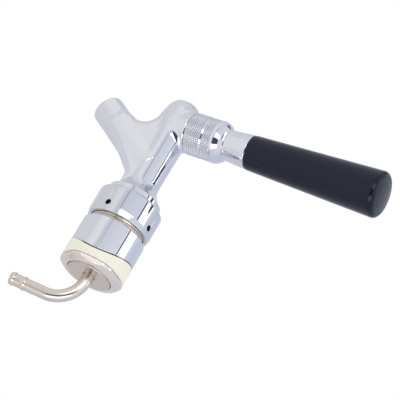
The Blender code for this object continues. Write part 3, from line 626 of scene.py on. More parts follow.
@dataclass(frozen=True)
class PlatedChrome(Finish):
    """Chrome plate: a mirror with the shallow waves that the buffing wheel leaves."""

    wave: float = 0.02
    wave_mm: float = 14.0

    def detail(self, tree: bpy.types.NodeTree, shader: bpy.types.Node) -> None:
        """Broad, shallow waves and a slight change of gloss."""
        self.ripple(tree, shader, self.place(tree), self.wave_mm, 2.0, (0.7, 1.3), self.wave, 0.5)


@dataclass(frozen=True)
class PaintedShadeChrome(PlatedChrome):
    """Chrome with painted shade: its marked places, knurl roots and drilled holes, are darkened in the
    colour.
    """

    # Painted shade: the dark colour that marked places are mixed towards, by the share below
    painted_shade: str = "15151a"
    share: float = 1.0

    def detail(self, tree: bpy.types.NodeTree, shader: bpy.types.Node) -> None:
        """Buffing waves as on plain chrome, then the marked places mixed towards a painted shade colour.

        Args:
            tree: the material's node tree.
            shader: its shader.
        """
        super().detail(tree, shader)
        shaded = add_node(tree, "ShaderNodeAttribute", {"attribute_name": "paint_shade"})
        much = add_node(tree, "ShaderNodeMath", {"operation": "MULTIPLY", 1: self.share},
                        {0: shaded.outputs["Fac"]})
        mix = add_node(tree, "ShaderNodeMix",
                       {"data_type": "RGBA", 6: linear(self.colour), 7: linear(self.painted_shade)},
                       {0: much.outputs[0]})
        tree.links.new(mix.outputs[2], shader.inputs["Base Color"])


@dataclass(frozen=True)
class PolishedBlack(Finish):
    """Polished moulding with rubbing streaks along the handle.

    Real streaks are a few hundredths of a millimetre wide. They are drawn at about
    a millimetre, as finer ones don't show in the render.
    """

    specular: float = 0.25
    streak_mm: float = 1.2
    depth: float = 0.05
    along: float = 0.03

    def detail(self, tree: bpy.types.NodeTree, shader: bpy.types.Node) -> None:
        """Noise drawn out along the handle varies the gloss and ripples the shine.

        Args:
            tree: the material's node tree.
            shader: its shader.
        """
        shader.inputs["Specular IOR Level"].default_value = self.specular
        where = self.place(tree, (1.0, 1.0, self.along))
        self.ripple(tree, shader, where, self.streak_mm, 3.0, (0.5, 1.6), self.depth, 0.1)


@dataclass(frozen=True)
class TurnedMetal(Finish):
    """Drawn or turned metal with lines round its axis.

    A lathe leaves lines about 0.1 mm apart. They are drawn at the size in line_mm,
    which is coarser, as real ones don't show in the render.
    """

    line_mm: float = 0.6
    depth: float = 0.05
    stretch: Triple = (1.0, 0.05, 0.05)

    def detail(self, tree: bpy.types.NodeTree, shader: bpy.types.Node) -> None:
        """Noise drawn out round the axis gives the lines and varies the gloss."""
        where = self.place(tree, self.stretch)
        self.ripple(tree, shader, where, self.line_mm, 4.0, (0.75, 1.25), self.depth, 0.1)


@dataclass(frozen=True)
class Moulding(Finish):
    """Moulded plastic or rubber with a slight grain and a slight change of shade.

    The grain of a mould is under 0.1 mm. It is drawn at the size in grain_mm, which
    is coarser, as the real one doesn't show in the render.
    """

    grain_mm: float = 0.4
    depth: float = 0.04
    shade: float = 0.04
    shade_mm: float = 20.0

    def detail(self, tree: bpy.types.NodeTree, shader: bpy.types.Node) -> None:
        """Grain for the bump, and broad noise for the shade.

        Args:
            tree: the material's node tree.
            shader: its shader.
        """
        where = self.place(tree)
        grain = add_node(tree, "ShaderNodeTexNoise", {"Scale": 1.0 / (self.grain_mm * MM), "Detail": 3.0},
                         {"Vector": where})
        bump = add_node(tree, "ShaderNodeBump", {"Strength": self.depth, "Distance": 0.05 * MM},
                        {"Height": grain.outputs["Fac"]})
        tree.links.new(bump.outputs["Normal"], shader.inputs["Normal"])
        broad = add_node(tree, "ShaderNodeTexNoise", {"Scale": 1.0 / (self.shade_mm * MM), "Detail": 2.0},
                         {"Vector": where})
        tone = add_node(tree, "ShaderNodeMapRange", {"To Min": 1.0 - self.shade, "To Max": 1.0 + self.shade},
                        {"Value": broad.outputs["Fac"]})
        colour = add_node(tree, "ShaderNodeVectorMath", {"operation": "SCALE", 0: linear(self.colour)[:3]},
                          {"Scale": tone.outputs["Result"]})
        tree.links.new(colour.outputs["Vector"], shader.inputs["Base Color"])


# Materials of the pieces that show

# Cast brass, buffed by hand and chrome plated: a cool mirror whose reflections waver a
# little, which shows most on the flat web
CAST_CHROME = PlatedChrome("chrome_on_cast_brass", "dcdde3", 1.0, 0.05, 0.22, 8.0)

# Turned brass, polished and chrome plated: a truer mirror with straight reflections
TURNED_CHROME = PlatedChrome("chrome_on_turned_brass", "dcdde3", 1.0, 0.05)

# Knurled brass, chrome plated: bright crests over roots greyed by painted shade, so that the
# bands read as a fine grid
KNURLED_CHROME = PaintedShadeChrome("chrome_on_knurled_brass", "dcdde3", 1.0, 0.08, share=0.26)

# Turned and drilled brass, chrome plated: a true mirror round holes painted black as shade
DRILLED_CHROME = PaintedShadeChrome("chrome_on_drilled_brass", "d5d7de", 1.0, 0.05)

# Phenolic resin, moulded and polished: a deep blue-black with a soft shine along it
BLACK_PHENOLIC = PolishedBlack("phenolic_polished_black", "0d1428", 0.0, 0.14, 0.27)

# Brass with a cut thread and a thin coat of nickel: warm grey and satin
NICKELLED_BRASS = TurnedMetal("nickel_on_threaded_brass", "d3c9bd", 1.0, 0.26, 3.0, 0.004)

# Nylon, moulded and left as it came: milky, matt and almost even
CREAM_NYLON = Moulding("nylon_cream", "f1f0e1", 0.0, 0.42, 0.8, 0.006, 0.02)

# Stainless steel, faced on a lathe: warm pale grey, its shine blurred by the lines
TURNED_STEEL = TurnedMetal("stainless_turned", "e8ded7", 1.0, 0.28, 0.8, 0.012)

# Stainless tube, drawn and bent: warm grey with one long soft shine along the bend
DRAWN_STEEL = TurnedMetal("stainless_drawn_tube", "dbd1c8", 1.0, 0.25, 3.0, 0.006)

# Materials of the pieces inside

# Stainless steel, turned and polished: a bright grey ball that slides in plastic
POLISHED_STEEL = TurnedMetal("stainless_polished_ball", "d0cdca", 1.0, 0.15, 1.0, 0.02)

# Stainless steel, turned and left bare: grey and satin
SHAFT_STEEL = TurnedMetal("stainless_turned_shaft", "c6c4c1", 1.0, 0.25)

# Brass, turned and left bare: yellow and satin
TURNED_BRASS = TurnedMetal("brass_turned", "c9a35f", 1.0, 0.3)

# Spring steel, blued by its heat treatment: middle grey with a slight blue
SPRING_STEEL = TurnedMetal("spring_steel_blued", "8a8c92", 1.0, 0.35)

# Acetal, moulded: slippery, matt white
WHITE_ACETAL = Moulding("acetal_white", "e6e6e2", 0.0, 0.45)

# Nitrile rubber, moulded: matt black
NITRILE = Moulding("nitrile_rubber", "1c1c1c", 0.0, 0.6)


def dress(piece: bpy.types.Object, node: str, body: Body, finish: Finish) -> None:
    """Give a finished piece its material and let it stand for its CAD node.

    Args:
        piece: the finished mesh.
        node: CAD node that it replaces.
        body: rigid body that it rides on.
        finish: its finish.
    """
    piece.data.materials.clear()
    piece.data.materials.append(finish.material())
    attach(piece, body.value)
    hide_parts(node)
    log.info("%s: %d faces", piece.name, len(piece.data.polygons))


# The casting

@dataclass
class TapBody:
    """The chromed casting: flange, flare, barrel, nose, web, spout, boss and neck.

    Its surface is where one field of distances is zero. Places along X are from the
    flange's seat.
    """

    flange_r: float = 16.6
    flange_edge: float = 4.1
    flare_length: float = 11.6
    barrel_r: float = 9.7
    nose_r: float = 10.8
    nose_x: float = 63.8
    tail_r: float = 12.5
    tail_rear: float = -5.8
    tail_front: float = 1.0
    web_half: float = 9.2
    web_edge: float = 5.0
    web_short: float = 11.0
    web_floor: float = -11.2
    web_rear_floor: float = -11.6
    web_front: float = 9.6
    web_rear: float = 8.9
    web_foot: float = 7.6
    web_nose_r: float = 10.1
    web_nose_arc: Pair = (-70.0, -30.0)
    web_rear_start: float = 3.4
    web_inside: Pair = (6.8, 4.0)
    web_melt: float = 0.9
    fillet_front: float = 9.4
    fillet_rear: float = 7.0
    fillet_long: float = 45.0
    spout_angle: float = 33.0
    spout_root: float = 24.5
    spout_length: float = 55.4
    spout_taper: float = 40.0
    spout_tip_r: float = 9.5
    spout_root_r: float = 9.7
    spout_lip: float = 0.9
    spout_start: float = 2.0
    spout_melt: float = 1.8
    swell_power: float = 2.4
    bore_root_r: float = 6.1
    bore_tip_r: float = 7.2
    bore_start: float = 0.5
    valve_r: float = 6.4
    valve_end: float = 67.3
    boss_x: float = 56.8
    boss_r: float = 12.4
    boss_waist_r: float = 10.9
    boss_top: float = 10.8
    boss_root_share: float = 0.45
    boss_rim: float = 1.2
    boss_edge: float = 0.4
    boss_power: float = 0.7
    boss_fillet: float = 2.2
    neck_r: float = 10.6
    neck_top: float = 19.0
    chamber_r: float = 8.7
    chamber_low: float = 1.5
    chamber_top: float = 12.0
    throat_r: float = 6.8
    pocket_r: float = 8.3
    pocket_low: float = 16.2
    cell: float = 0.55
    margin: float = 1.2
    finish: Finish = CAST_CHROME

    def spout_axes(self) -> tuple[Array, Array]:
        """Unit vectors down the spout and across it, in (x, z)."""
        slope = math.radians(self.spout_angle)
        return np.array([math.sin(slope), -math.cos(slope)]), np.array([math.cos(slope), math.sin(slope)])

    def corner_arc(self, corner: Array, before: Array, after: Array, radius: float, count: int) -> Array:
        """Points of the arc that rounds a corner between two neighbours.

        Where a wall beside it is short, the arc leaves the web's edge radius of it
        straight, or half of it if that is more.

        Args:
            corner: the sharp corner in mm.
            before: its neighbour on one side.
            after: its neighbour on the other side.
            radius: wanted radius of the arc.
            count: number of points.

        Returns:
            (count, 2) points in mm.
        """
        wall = min(float(np.linalg.norm(before - corner)), float(np.linalg.norm(after - corner)))
        a, b = unit(before - corner), unit(after - corner)
        half = math.acos(float(a @ b)) / 2.0
        radius = min(radius, max(wall - self.web_edge, wall / 2.0) * math.tan(half))
        centre = corner + unit(a + b) * radius / math.sin(half)
        reach = radius / math.tan(half)
        return arc_between(centre, corner + a * reach - centre, corner + b * reach - centre, count)

    def web_outline(self) -> Array:
        """Outline of the web in (x, z), from the spout's foot round by the nose and the flare.

        It follows the nose on an arc, turns inwards where the nose hides it, and comes
        out of the flare again at the rear. From heel to ankle it slopes at 45 degrees.

        Returns:
            (n, 2) corners in mm.
        """
        down, side = self.spout_axes()
        root = np.array([self.spout_root, 0.0])
        foot = root + down * (self.spout_length - self.web_short)
        half = side * self.web_foot
        front = foot + side * self.web_front
        front_corner = front - down * ((front[1] - self.web_floor) / down[1])
        nose_low = np.array([self.nose_x + self.web_edge / 2.0, self.web_floor])
        under = arc_points((self.nose_x, 0.0), self.web_nose_r, *self.web_nose_arc, 12)
        lean = math.radians(self.web_nose_arc[1])
        turn_r = self.web_edge + CLEARANCE
        inset = self.web_nose_r - turn_r
        turn = (self.nose_x + inset * math.cos(lean), inset * math.sin(lean))
        inside = (self.flange_edge + self.web_inside[0], self.web_inside[1])
        flare_low = np.array([self.flange_edge + self.web_rear_start, self.web_rear_floor])
        heel = np.array([self.flange_edge + self.flare_length, self.web_rear_floor])
        slope = np.array([1.0, -1.0]) / math.sqrt(2.0)
        ankle = heel + slope * ((root - heel) @ side - self.web_rear) / float(slope @ side)
        return np.concatenate([
            [foot - half, foot + half],
            self.corner_arc(front_corner, front, nose_low, self.fillet_front, 16), under,
            arc_points(turn, turn_r, 0.0, 90.0, 5), [inside, flare_low],
            self.corner_arc(heel, flare_low, ankle, self.fillet_rear, 12),
            self.corner_arc(ankle, heel, foot - half, self.fillet_long, 16)])

    def barrel(self, x: Array, radial: Array) -> Array:
        """Flange, flare and barrel as a turned shape, ending in the round nose.

        The flare's radius grows with the square of the share of its length, and the
        barrel's with a power of the share of its own towards the nose.

        Args:
            x: places along the barrel, from the flange's seat, in mm.
            radial: distances from its axis.

        Returns:
            Field in mm, negative inside.
        """
        start = self.flange_edge
        end = start + self.flare_length
        flare = np.clip((end - x) / self.flare_length, 0.0, 1.0)
        swell = np.clip((x - end) / (self.nose_x - end), 0.0, 1.0)
        radius = self.barrel_r + (self.flange_r - self.barrel_r) * flare ** 2
        radius += (self.nose_r - self.barrel_r) * swell ** self.swell_power
        slope = 2.0 * (self.flange_r - self.barrel_r) / self.flare_length * flare * (x > start)
        side = (radial - radius) / np.sqrt(1.0 + slope ** 2)
        nose = np.hypot(np.maximum(x - self.nose_x, 0.0), radial) - self.nose_r
        turned = np.where(x > self.nose_x, nose, side)
        return np.maximum(turned, CLEARANCE - x)

    def web(self, x: Array, y: Array, z: Array) -> Array:
        """The web: its outline's distance and |y| less its half thickness, with a round edge.

        Args:
            x: places along the barrel in mm.
            y: places across it.
            z: heights.

        Returns:
            Field in mm, negative inside.
        """
        wall = outline_distance(np.stack([x, z], axis=-1), self.web_outline())
        return round_edge(wall, np.abs(y) - self.web_half, self.web_edge)

    def spout(self, along: Array, off: Array) -> Array:
        """A slim cone down the spout's axis with a rounded lip.

        Args:
            along: places down the spout's axis in mm.
            off: distances from it.

        Returns:
            Field in mm, negative inside.
        """
        share = np.clip((self.spout_length - along) / self.spout_taper, 0.0, 1.0)
        radius = self.spout_tip_r + (self.spout_root_r - self.spout_tip_r) * share
        cone = round_edge(off - radius, along - self.spout_length, self.spout_lip)
        return np.maximum(cone, self.spout_start - along)

    def boss(self, z: Array, radial: Array) -> Array:
        """The boss under the bonnet, waisted below, with the neck on top.

        Its radius grows with a power of the share of the height above its root, which
        lies inside the barrel.

        Args:
            z: heights in mm.
            radial: distances from the handle's axis.

        Returns:
            Field in mm, negative inside.
        """
        low = -self.boss_root_share * self.nose_r
        share = np.clip((z - low) / (self.boss_top - self.boss_rim - low), 0.001, 1.0)
        radius = self.boss_waist_r + (self.boss_r - self.boss_waist_r) * share ** self.boss_power
        skirt = round_edge(radial - radius, z - self.boss_top, self.boss_edge)
        neck = np.maximum(radial - self.neck_r, z - self.neck_top)
        return np.maximum(np.minimum(skirt, neck), low - z)

    def hollows(self, x: Array, z: Array, shank_r: Array, handle_r: Array, along: Array,
                off: Array) -> Array:
        """Valve bore, spout bore and lever chamber in one field.

        Args:
            x: places along the barrel in mm.
            z: heights.
            shank_r: distances from the barrel's axis.
            handle_r: distances from the handle's axis.
            along: places down the spout's axis.
            off: distances from that axis.

        Returns:
            Field in mm, negative inside a hollow.
        """
        valve = np.maximum(shank_r - self.valve_r, x - self.valve_end)
        slope = (self.bore_tip_r - self.bore_root_r) / self.spout_length
        spout = np.maximum(off - self.bore_root_r - slope * along, self.bore_start - along)
        ends = np.maximum(self.chamber_low - z, z - self.chamber_top)
        chamber = np.maximum(handle_r - self.chamber_r, ends)
        throat = np.maximum(handle_r - self.throat_r, self.chamber_low - z)
        pocket = np.maximum(handle_r - self.pocket_r, self.pocket_low - z)
        return np.minimum.reduce([valve, spout, chamber, throat, pocket])

    def value(self, points: Array) -> Array:
        """The casting's field: its forms melted together, less its hollows.

        Args:
            points: (n, 3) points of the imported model's frame, in mm.

        Returns:
            (n,) field in mm, negative inside the metal.
        """
        x, y, z = points[:, 0] - FLANGE_X, points[:, 1], points[:, 2]
        shank_r = np.hypot(y, z)
        handle_r = np.hypot(x - self.boss_x, y)
        down, side = self.spout_axes()
        along = (x - self.spout_root) * down[0] + z * down[1]
        off = np.hypot((x - self.spout_root) * side[0] + z * side[1], y)
        casting = melt(self.barrel(x, shank_r), self.web(x, y, z), self.web_melt)
        casting = melt(casting, self.spout(along, off), self.spout_melt)
        casting = fillet_union(casting, self.boss(z, handle_r), self.boss_fillet)
        tail = np.maximum(shank_r - self.tail_r, np.maximum(self.tail_rear - x, x - self.tail_front))
        casting = np.minimum(casting, tail)
        return np.maximum(casting, -self.hollows(x, z, shank_r, handle_r, along, off))

    def build(self) -> None:
        """Net the field, settle its vertices on the surface and dress the casting."""
        low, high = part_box("tap_body")
        low = tuple(v / MM - self.margin for v in low)
        high = tuple(v / MM + self.margin for v in high)
        points, quads = surface_net(self.value, low, high, self.cell)
        points, normals = settle(self.value, points)
        made = solid_mesh("tap_body_casting", points, [quads], normals)
        dress(made, "tap_body", Body.TAP, self.finish)


# Bonnet and handle

@dataclass
class Bonnet:
    """Knurled bonnet with its domed top; heights are from the tap's axis."""

    foot: float = 10.9
    crest_r: float = 12.8
    band_r: float = 13.0
    shoulder_r: float = 7.0
    dome_r: float = DOME_R
    wall: float = 2.85
    bore_r: float = 10.9
    knurl_depth: float = 0.5
    knurl_low: float = 11.5
    groove_low: float = 21.7
    groove_high: float = 22.9
    knurl_high: float = 27.8
    groove_dip: float = 0.35
    band_gap: float = 0.3
    foot_inset: float = 0.5
    top_angle: float = 89.8
    knob_flank: float = 1.7
    # The real knurl's pitch is about 1.1 mm. It is drawn coarser, at 1.2 to 1.3 mm, so
    # that its knobs show in the render.
    teeth: int = 66
    rows_low: int = 8
    rows_high: int = 4
    samples: int = 6
    slot_half: float = 3.5
    slot_swing: float = 20.0
    slot_over: float = 3.0
    slot_floor_share: float = 0.5
    finish: Finish = KNURLED_CHROME

    def profile(self) -> tuple[Array, Array]:
        """Profile from the dome down and back up the inside, with its share of knurl.

        The shoulder's arc touches the band and the dome from inside: its centre lies
        one shoulder radius inside the band, and inside the dome's sphere.

        Returns:
            (n, 2) array of (r, h) in mm, and the (n,) share of knurl.
        """
        step = (self.groove_low - self.knurl_low) / (self.rows_low * self.samples)
        step_high = (self.knurl_high - self.groove_high) / (self.rows_high * self.samples)
        pivot = (0.0, PIVOT_Z)
        inner = self.dome_r - self.wall
        across = self.band_r - self.shoulder_r
        rise = math.sqrt((self.dome_r - self.shoulder_r) ** 2 - across ** 2)
        meet = math.degrees(math.atan2(rise, across))
        dome = arc_points(pivot, self.dome_r, self.top_angle, meet + 1.0, 20)
        shoulder = arc_points((across, PIVOT_Z + rise), self.shoulder_r, meet, 0.0, 18)
        root = self.crest_r - self.knurl_depth
        band = rounded([tuple(shoulder[-1]) + (0.0,), (self.band_r, self.knurl_high + self.band_gap, 0.2),
                        (root, self.knurl_high + self.band_gap / 2.0, 0.0)], closed=False)[1:]
        turn = np.concatenate([shoulder, band])
        high = np.arange(self.rows_high * self.samples + 1)[::-1] * step_high + self.groove_high
        low = np.arange(self.rows_low * self.samples + 1)[::-1] * step + self.knurl_low
        centre = (self.groove_low + self.groove_high) / 2.0
        middle = rounded([(root, self.groove_high - 0.1, 0.0), (root - self.groove_dip, centre + 0.15, 0.4),
                          (root + 0.15, self.groove_low + 0.1, 0.0)], closed=False, steps=8)
        foot = rounded([(root, self.knurl_low - 0.1, 0.0), (root - 0.15, self.foot + 0.1, 0.1),
                        (root - self.foot_inset, self.foot, 0.1), (self.bore_r, self.foot, 0.2)],
                       closed=False)
        start = math.degrees(math.acos(self.bore_r / inner))
        under = arc_points(pivot, inner, start, self.top_angle, 16)
        upper_knurl = np.stack([np.full(len(high), self.crest_r), high], axis=1)
        lower_knurl = np.stack([np.full(len(low), self.crest_r), low], axis=1)
        stretches = [(dome, 0.0), (turn, 0.0), (upper_knurl, 1.0), (middle, 0.0), (lower_knurl, 1.0),
                     (foot, 0.0), (under, 0.0)]
        share = np.concatenate([np.full(len(part), s) for part, s in stretches])
        return np.concatenate([part for part, _ in stretches]), share

    def knurl(self, rings: Array, share: Array) -> Array:
        """Press a square knurl into the rings that carry it.

        A knob's height is min(1, flank * min(tri(a), tri(b))), where tri is a triangle
        wave, a counts teeth round the axis and b counts rows along it. The radius is
        the crest's less the depth times one minus that height.

        Args:
            rings: (rows, columns, 3) points in mm.
            share: share of the knurl that each row carries.

        Returns:
            The points with the knurl in them.
        """
        angle = np.arange(rings.shape[1]) / self.samples
        heights = rings[:, 0, 2]
        pitch_low = (self.groove_low - self.knurl_low) / self.rows_low
        pitch_high = (self.knurl_high - self.groove_high) / self.rows_high
        row = np.where(heights < self.groove_low + 0.01, (heights - self.knurl_low) / pitch_low,
                       (heights - self.groove_high) / pitch_high)
        around = 1.0 - np.abs(2.0 * (angle % 1.0) - 1.0)
        down = 1.0 - np.abs(2.0 * (np.round(row, 6) % 1.0) - 1.0)
        knob = np.minimum(1.0, self.knob_flank * np.minimum(around[None, :], down[:, None]))
        sink = self.knurl_depth * (1.0 - knob) * share[:, None]
        scale = 1.0 - sink / np.maximum(np.hypot(rings[..., 0], rings[..., 1]), 1.0)
        return np.stack([rings[..., 0] * scale, rings[..., 1] * scale, rings[..., 2]], axis=-1)

    def slot_cutter(self) -> bpy.types.Object:
        """Round-ended bar through the dome, as long as the stem's swing.

        Returns:
            The bar, as a closed object.
        """
        reach = self.dome_r * math.sin(math.radians(self.slot_swing))
        turn = np.radians(np.linspace(-90.0, 90.0, 17))
        ahead = np.stack([reach + self.slot_half * np.cos(turn), self.slot_half * np.sin(turn)], axis=1)
        behind = np.stack([-self.slot_half * np.cos(turn), -self.slot_half * np.sin(turn)], axis=1)
        outline = np.concatenate([ahead, behind])
        top, floor = self.dome_r + self.slot_over, self.dome_r * self.slot_floor_share
        heights = (PIVOT_Z + top, PIVOT_Z + floor)
        rings = np.stack([np.column_stack([outline, np.full(len(outline), h)]) for h in heights])
        return ring_solid("lever_slot_cutter", up_handle(rings), closed=False)

    def build(self) -> None:
        """Turn the profile, press the knurl, cut the slot and dress the bonnet."""
        profile, share = self.profile()
        rings = self.knurl(revolve(profile, self.teeth * self.samples), share)
        made = ring_solid("knurled_bonnet", up_handle(rings), closed=False)
        cut(made, [self.slot_cutter()])
        x, y, z = places_of(made.data.vertices, "co").T
        radial = np.hypot(x - HANDLE_X, y)
        root = self.crest_r - self.knurl_depth
        on_knurl = (z > self.knurl_low) & (z < self.knurl_high) & (radial > root - 0.02)
        on_knurl &= (z < self.groove_low) | (z > self.groove_high)
        # Painted shade: the knurl's roots are darkened in the colour by how deep they sink
        sunk = np.clip((self.crest_r - radial) / self.knurl_depth, 0.0, 1.0)
        paint_shade(made, "POINT", np.where(on_knurl, sunk, 0.0))
        dress(made, "knurled_collar", Body.TAP, self.finish)


@dataclass
class Handle:
    """Chromed ferrule and black grip, which ride on the lever."""

    base_r: float = 9.3
    foot_wall: float = 0.25
    foot_rise: float = 0.3
    top_r: float = 10.5
    joint_z: float = 50.5
    bore_r: float = 4.9
    grip_base_r: float = 10.6
    grip_top_r: float = 14.2
    grip_edge: float = 3.0
    grip_base_edge: float = 1.1
    grip_top: float = 137.6
    crown: float = 1.2
    crown_share: float = 0.45
    crown_drop: float = 0.25
    crown_round: float = 6.0
    pocket_r: float = 6.6
    pocket_depth: float = 14.6
    columns: int = 224
    chrome: Finish = TURNED_CHROME
    black: Finish = BLACK_PHENOLIC

    def ferrule(self) -> None:
        """Cone with a hollow underside that rides over the dome."""
        hollow = DOME_R + CLEARANCE / 2.0
        low = math.degrees(math.acos((self.base_r - self.foot_wall) / hollow))
        high = math.degrees(math.acos(self.bore_r / hollow))
        under = arc_points((0.0, PIVOT_Z), hollow, low, high, 14)
        foot = under[0, 1] + self.foot_rise
        outside = rounded([(self.bore_r, self.joint_z, 0.3), (self.top_r, self.joint_z, 0.35),
                           (self.base_r, foot, 0.15), (under[0, 0], under[0, 1], 0.0)], closed=False)
        profile = np.concatenate([outside[:-1], under])
        made = ring_solid("ferrule_cone", up_handle(revolve(profile, self.columns)), closed=True)
        dress(made, "handle_ferrule", Body.LEVER, self.chrome)

    def grip(self) -> None:
        """Tapered moulding with a slightly crowned end and a socket below."""
        base = self.joint_z + CLEARANCE
        top = self.grip_top
        floor = base + self.pocket_depth
        profile = rounded([(NEAR_AXIS, top, 0.0),
                           (self.grip_top_r * self.crown_share, top - self.crown_drop, self.crown_round),
                           (self.grip_top_r, top - self.crown, self.grip_edge),
                           (self.grip_base_r, base, self.grip_base_edge), (self.pocket_r, base, 0.2),
                           (self.pocket_r, floor, 0.3), (NEAR_AXIS, floor, 0.0)], closed=False, steps=9)
        made = ring_solid("black_handle", up_handle(revolve(profile, self.columns)), closed=False)
        dress(made, "handle_grip", Body.LEVER, self.black)

    def build(self) -> None:
        """Make both turned pieces of the handle."""
        self.ferrule()
        self.grip()


# Coupling and column clamp

@dataclass
class Coupling:
    """Round coupling nut with four blind spanner holes."""

    outer_r: float = 20.0
    rear_r: float = 19.2
    length: float = 18.1
    taper: float = 3.3
    bore_r: float = 17.2
    lip_r: float = 12.8
    lip: float = 3.0
    chamfer: float = 1.0
    hole_r: float = 1.8
    hole_depth: float = 2.0
    hole_set: float = 13.0
    hole_turn: float = -10.4
    holes: int = 4
    drill_over: float = 2.0
    drill_point: float = 0.5
    drill_tip_r: float = 0.02
    drill_columns: int = 40
    columns: int = 288
    chrome: Finish = DRILLED_CHROME

    def drill(self, number: int) -> bpy.types.Object:
        """A drill with a conical point, in place over one hole.

        Args:
            number: which hole, counted round from the first.

        Returns:
            The drill, as a closed object.
        """
        angle = math.radians(self.hole_turn + 360.0 / self.holes * number)
        over, floor = self.outer_r + self.drill_over, self.outer_r - self.hole_depth
        profile = np.array([(self.drill_tip_r, over), (self.hole_r, over), (self.hole_r, floor),
                            (self.drill_tip_r, floor - self.drill_point)])
        rings = revolve(profile, self.drill_columns)
        along, across, out = rings[..., 0], rings[..., 1], rings[..., 2]
        cos, sin = math.cos(angle), math.sin(angle)
        placed = [along + FLANGE_X - self.hole_set, out * cos - across * sin, out * sin + across * cos]
        return ring_solid(f"spanner_drill_{number}", np.stack(placed, axis=-1), closed=False)

    def build(self) -> None:
        """Turn the nut, drill it and dress it."""
        front, rear, ledge = FLANGE_X, FLANGE_X - self.length, FLANGE_X - self.lip
        profile = rounded([(self.lip_r, front, 0.2), (self.outer_r - self.chamfer, front, 0.25),
                           (self.outer_r, front - self.chamfer, 1.2), (self.outer_r, rear + self.taper, 3.0),
                           (self.rear_r, rear, 0.3), (self.bore_r, rear, 0.3), (self.bore_r, ledge, 0.3),
                           (self.lip_r, ledge, 0.2)])
        made = ring_solid("spanner_nut", along_shank(revolve(profile, self.columns)), closed=True)
        cut(made, [self.drill(i) for i in range(self.holes)])
        # Painted shade: the faces inside the spanner holes are darkened in the colour
        x, y, z = places_of(made.data.polygons, "center").T
        turn = np.radians(self.hole_turn + 360.0 / self.holes * np.arange(self.holes))[:, None]
        aside = np.hypot(x - (FLANGE_X - self.hole_set), z * np.cos(turn) - y * np.sin(turn))
        ahead = y * np.cos(turn) + z * np.sin(turn)
        drilled = (aside < self.hole_r + 0.01) & (ahead > self.bore_r) & (ahead < self.outer_r - 0.3)
        paint_shade(made, "FACE", drilled.any(axis=0).astype(float))
        dress(made, "coupling_nut", Body.TAP, self.chrome)


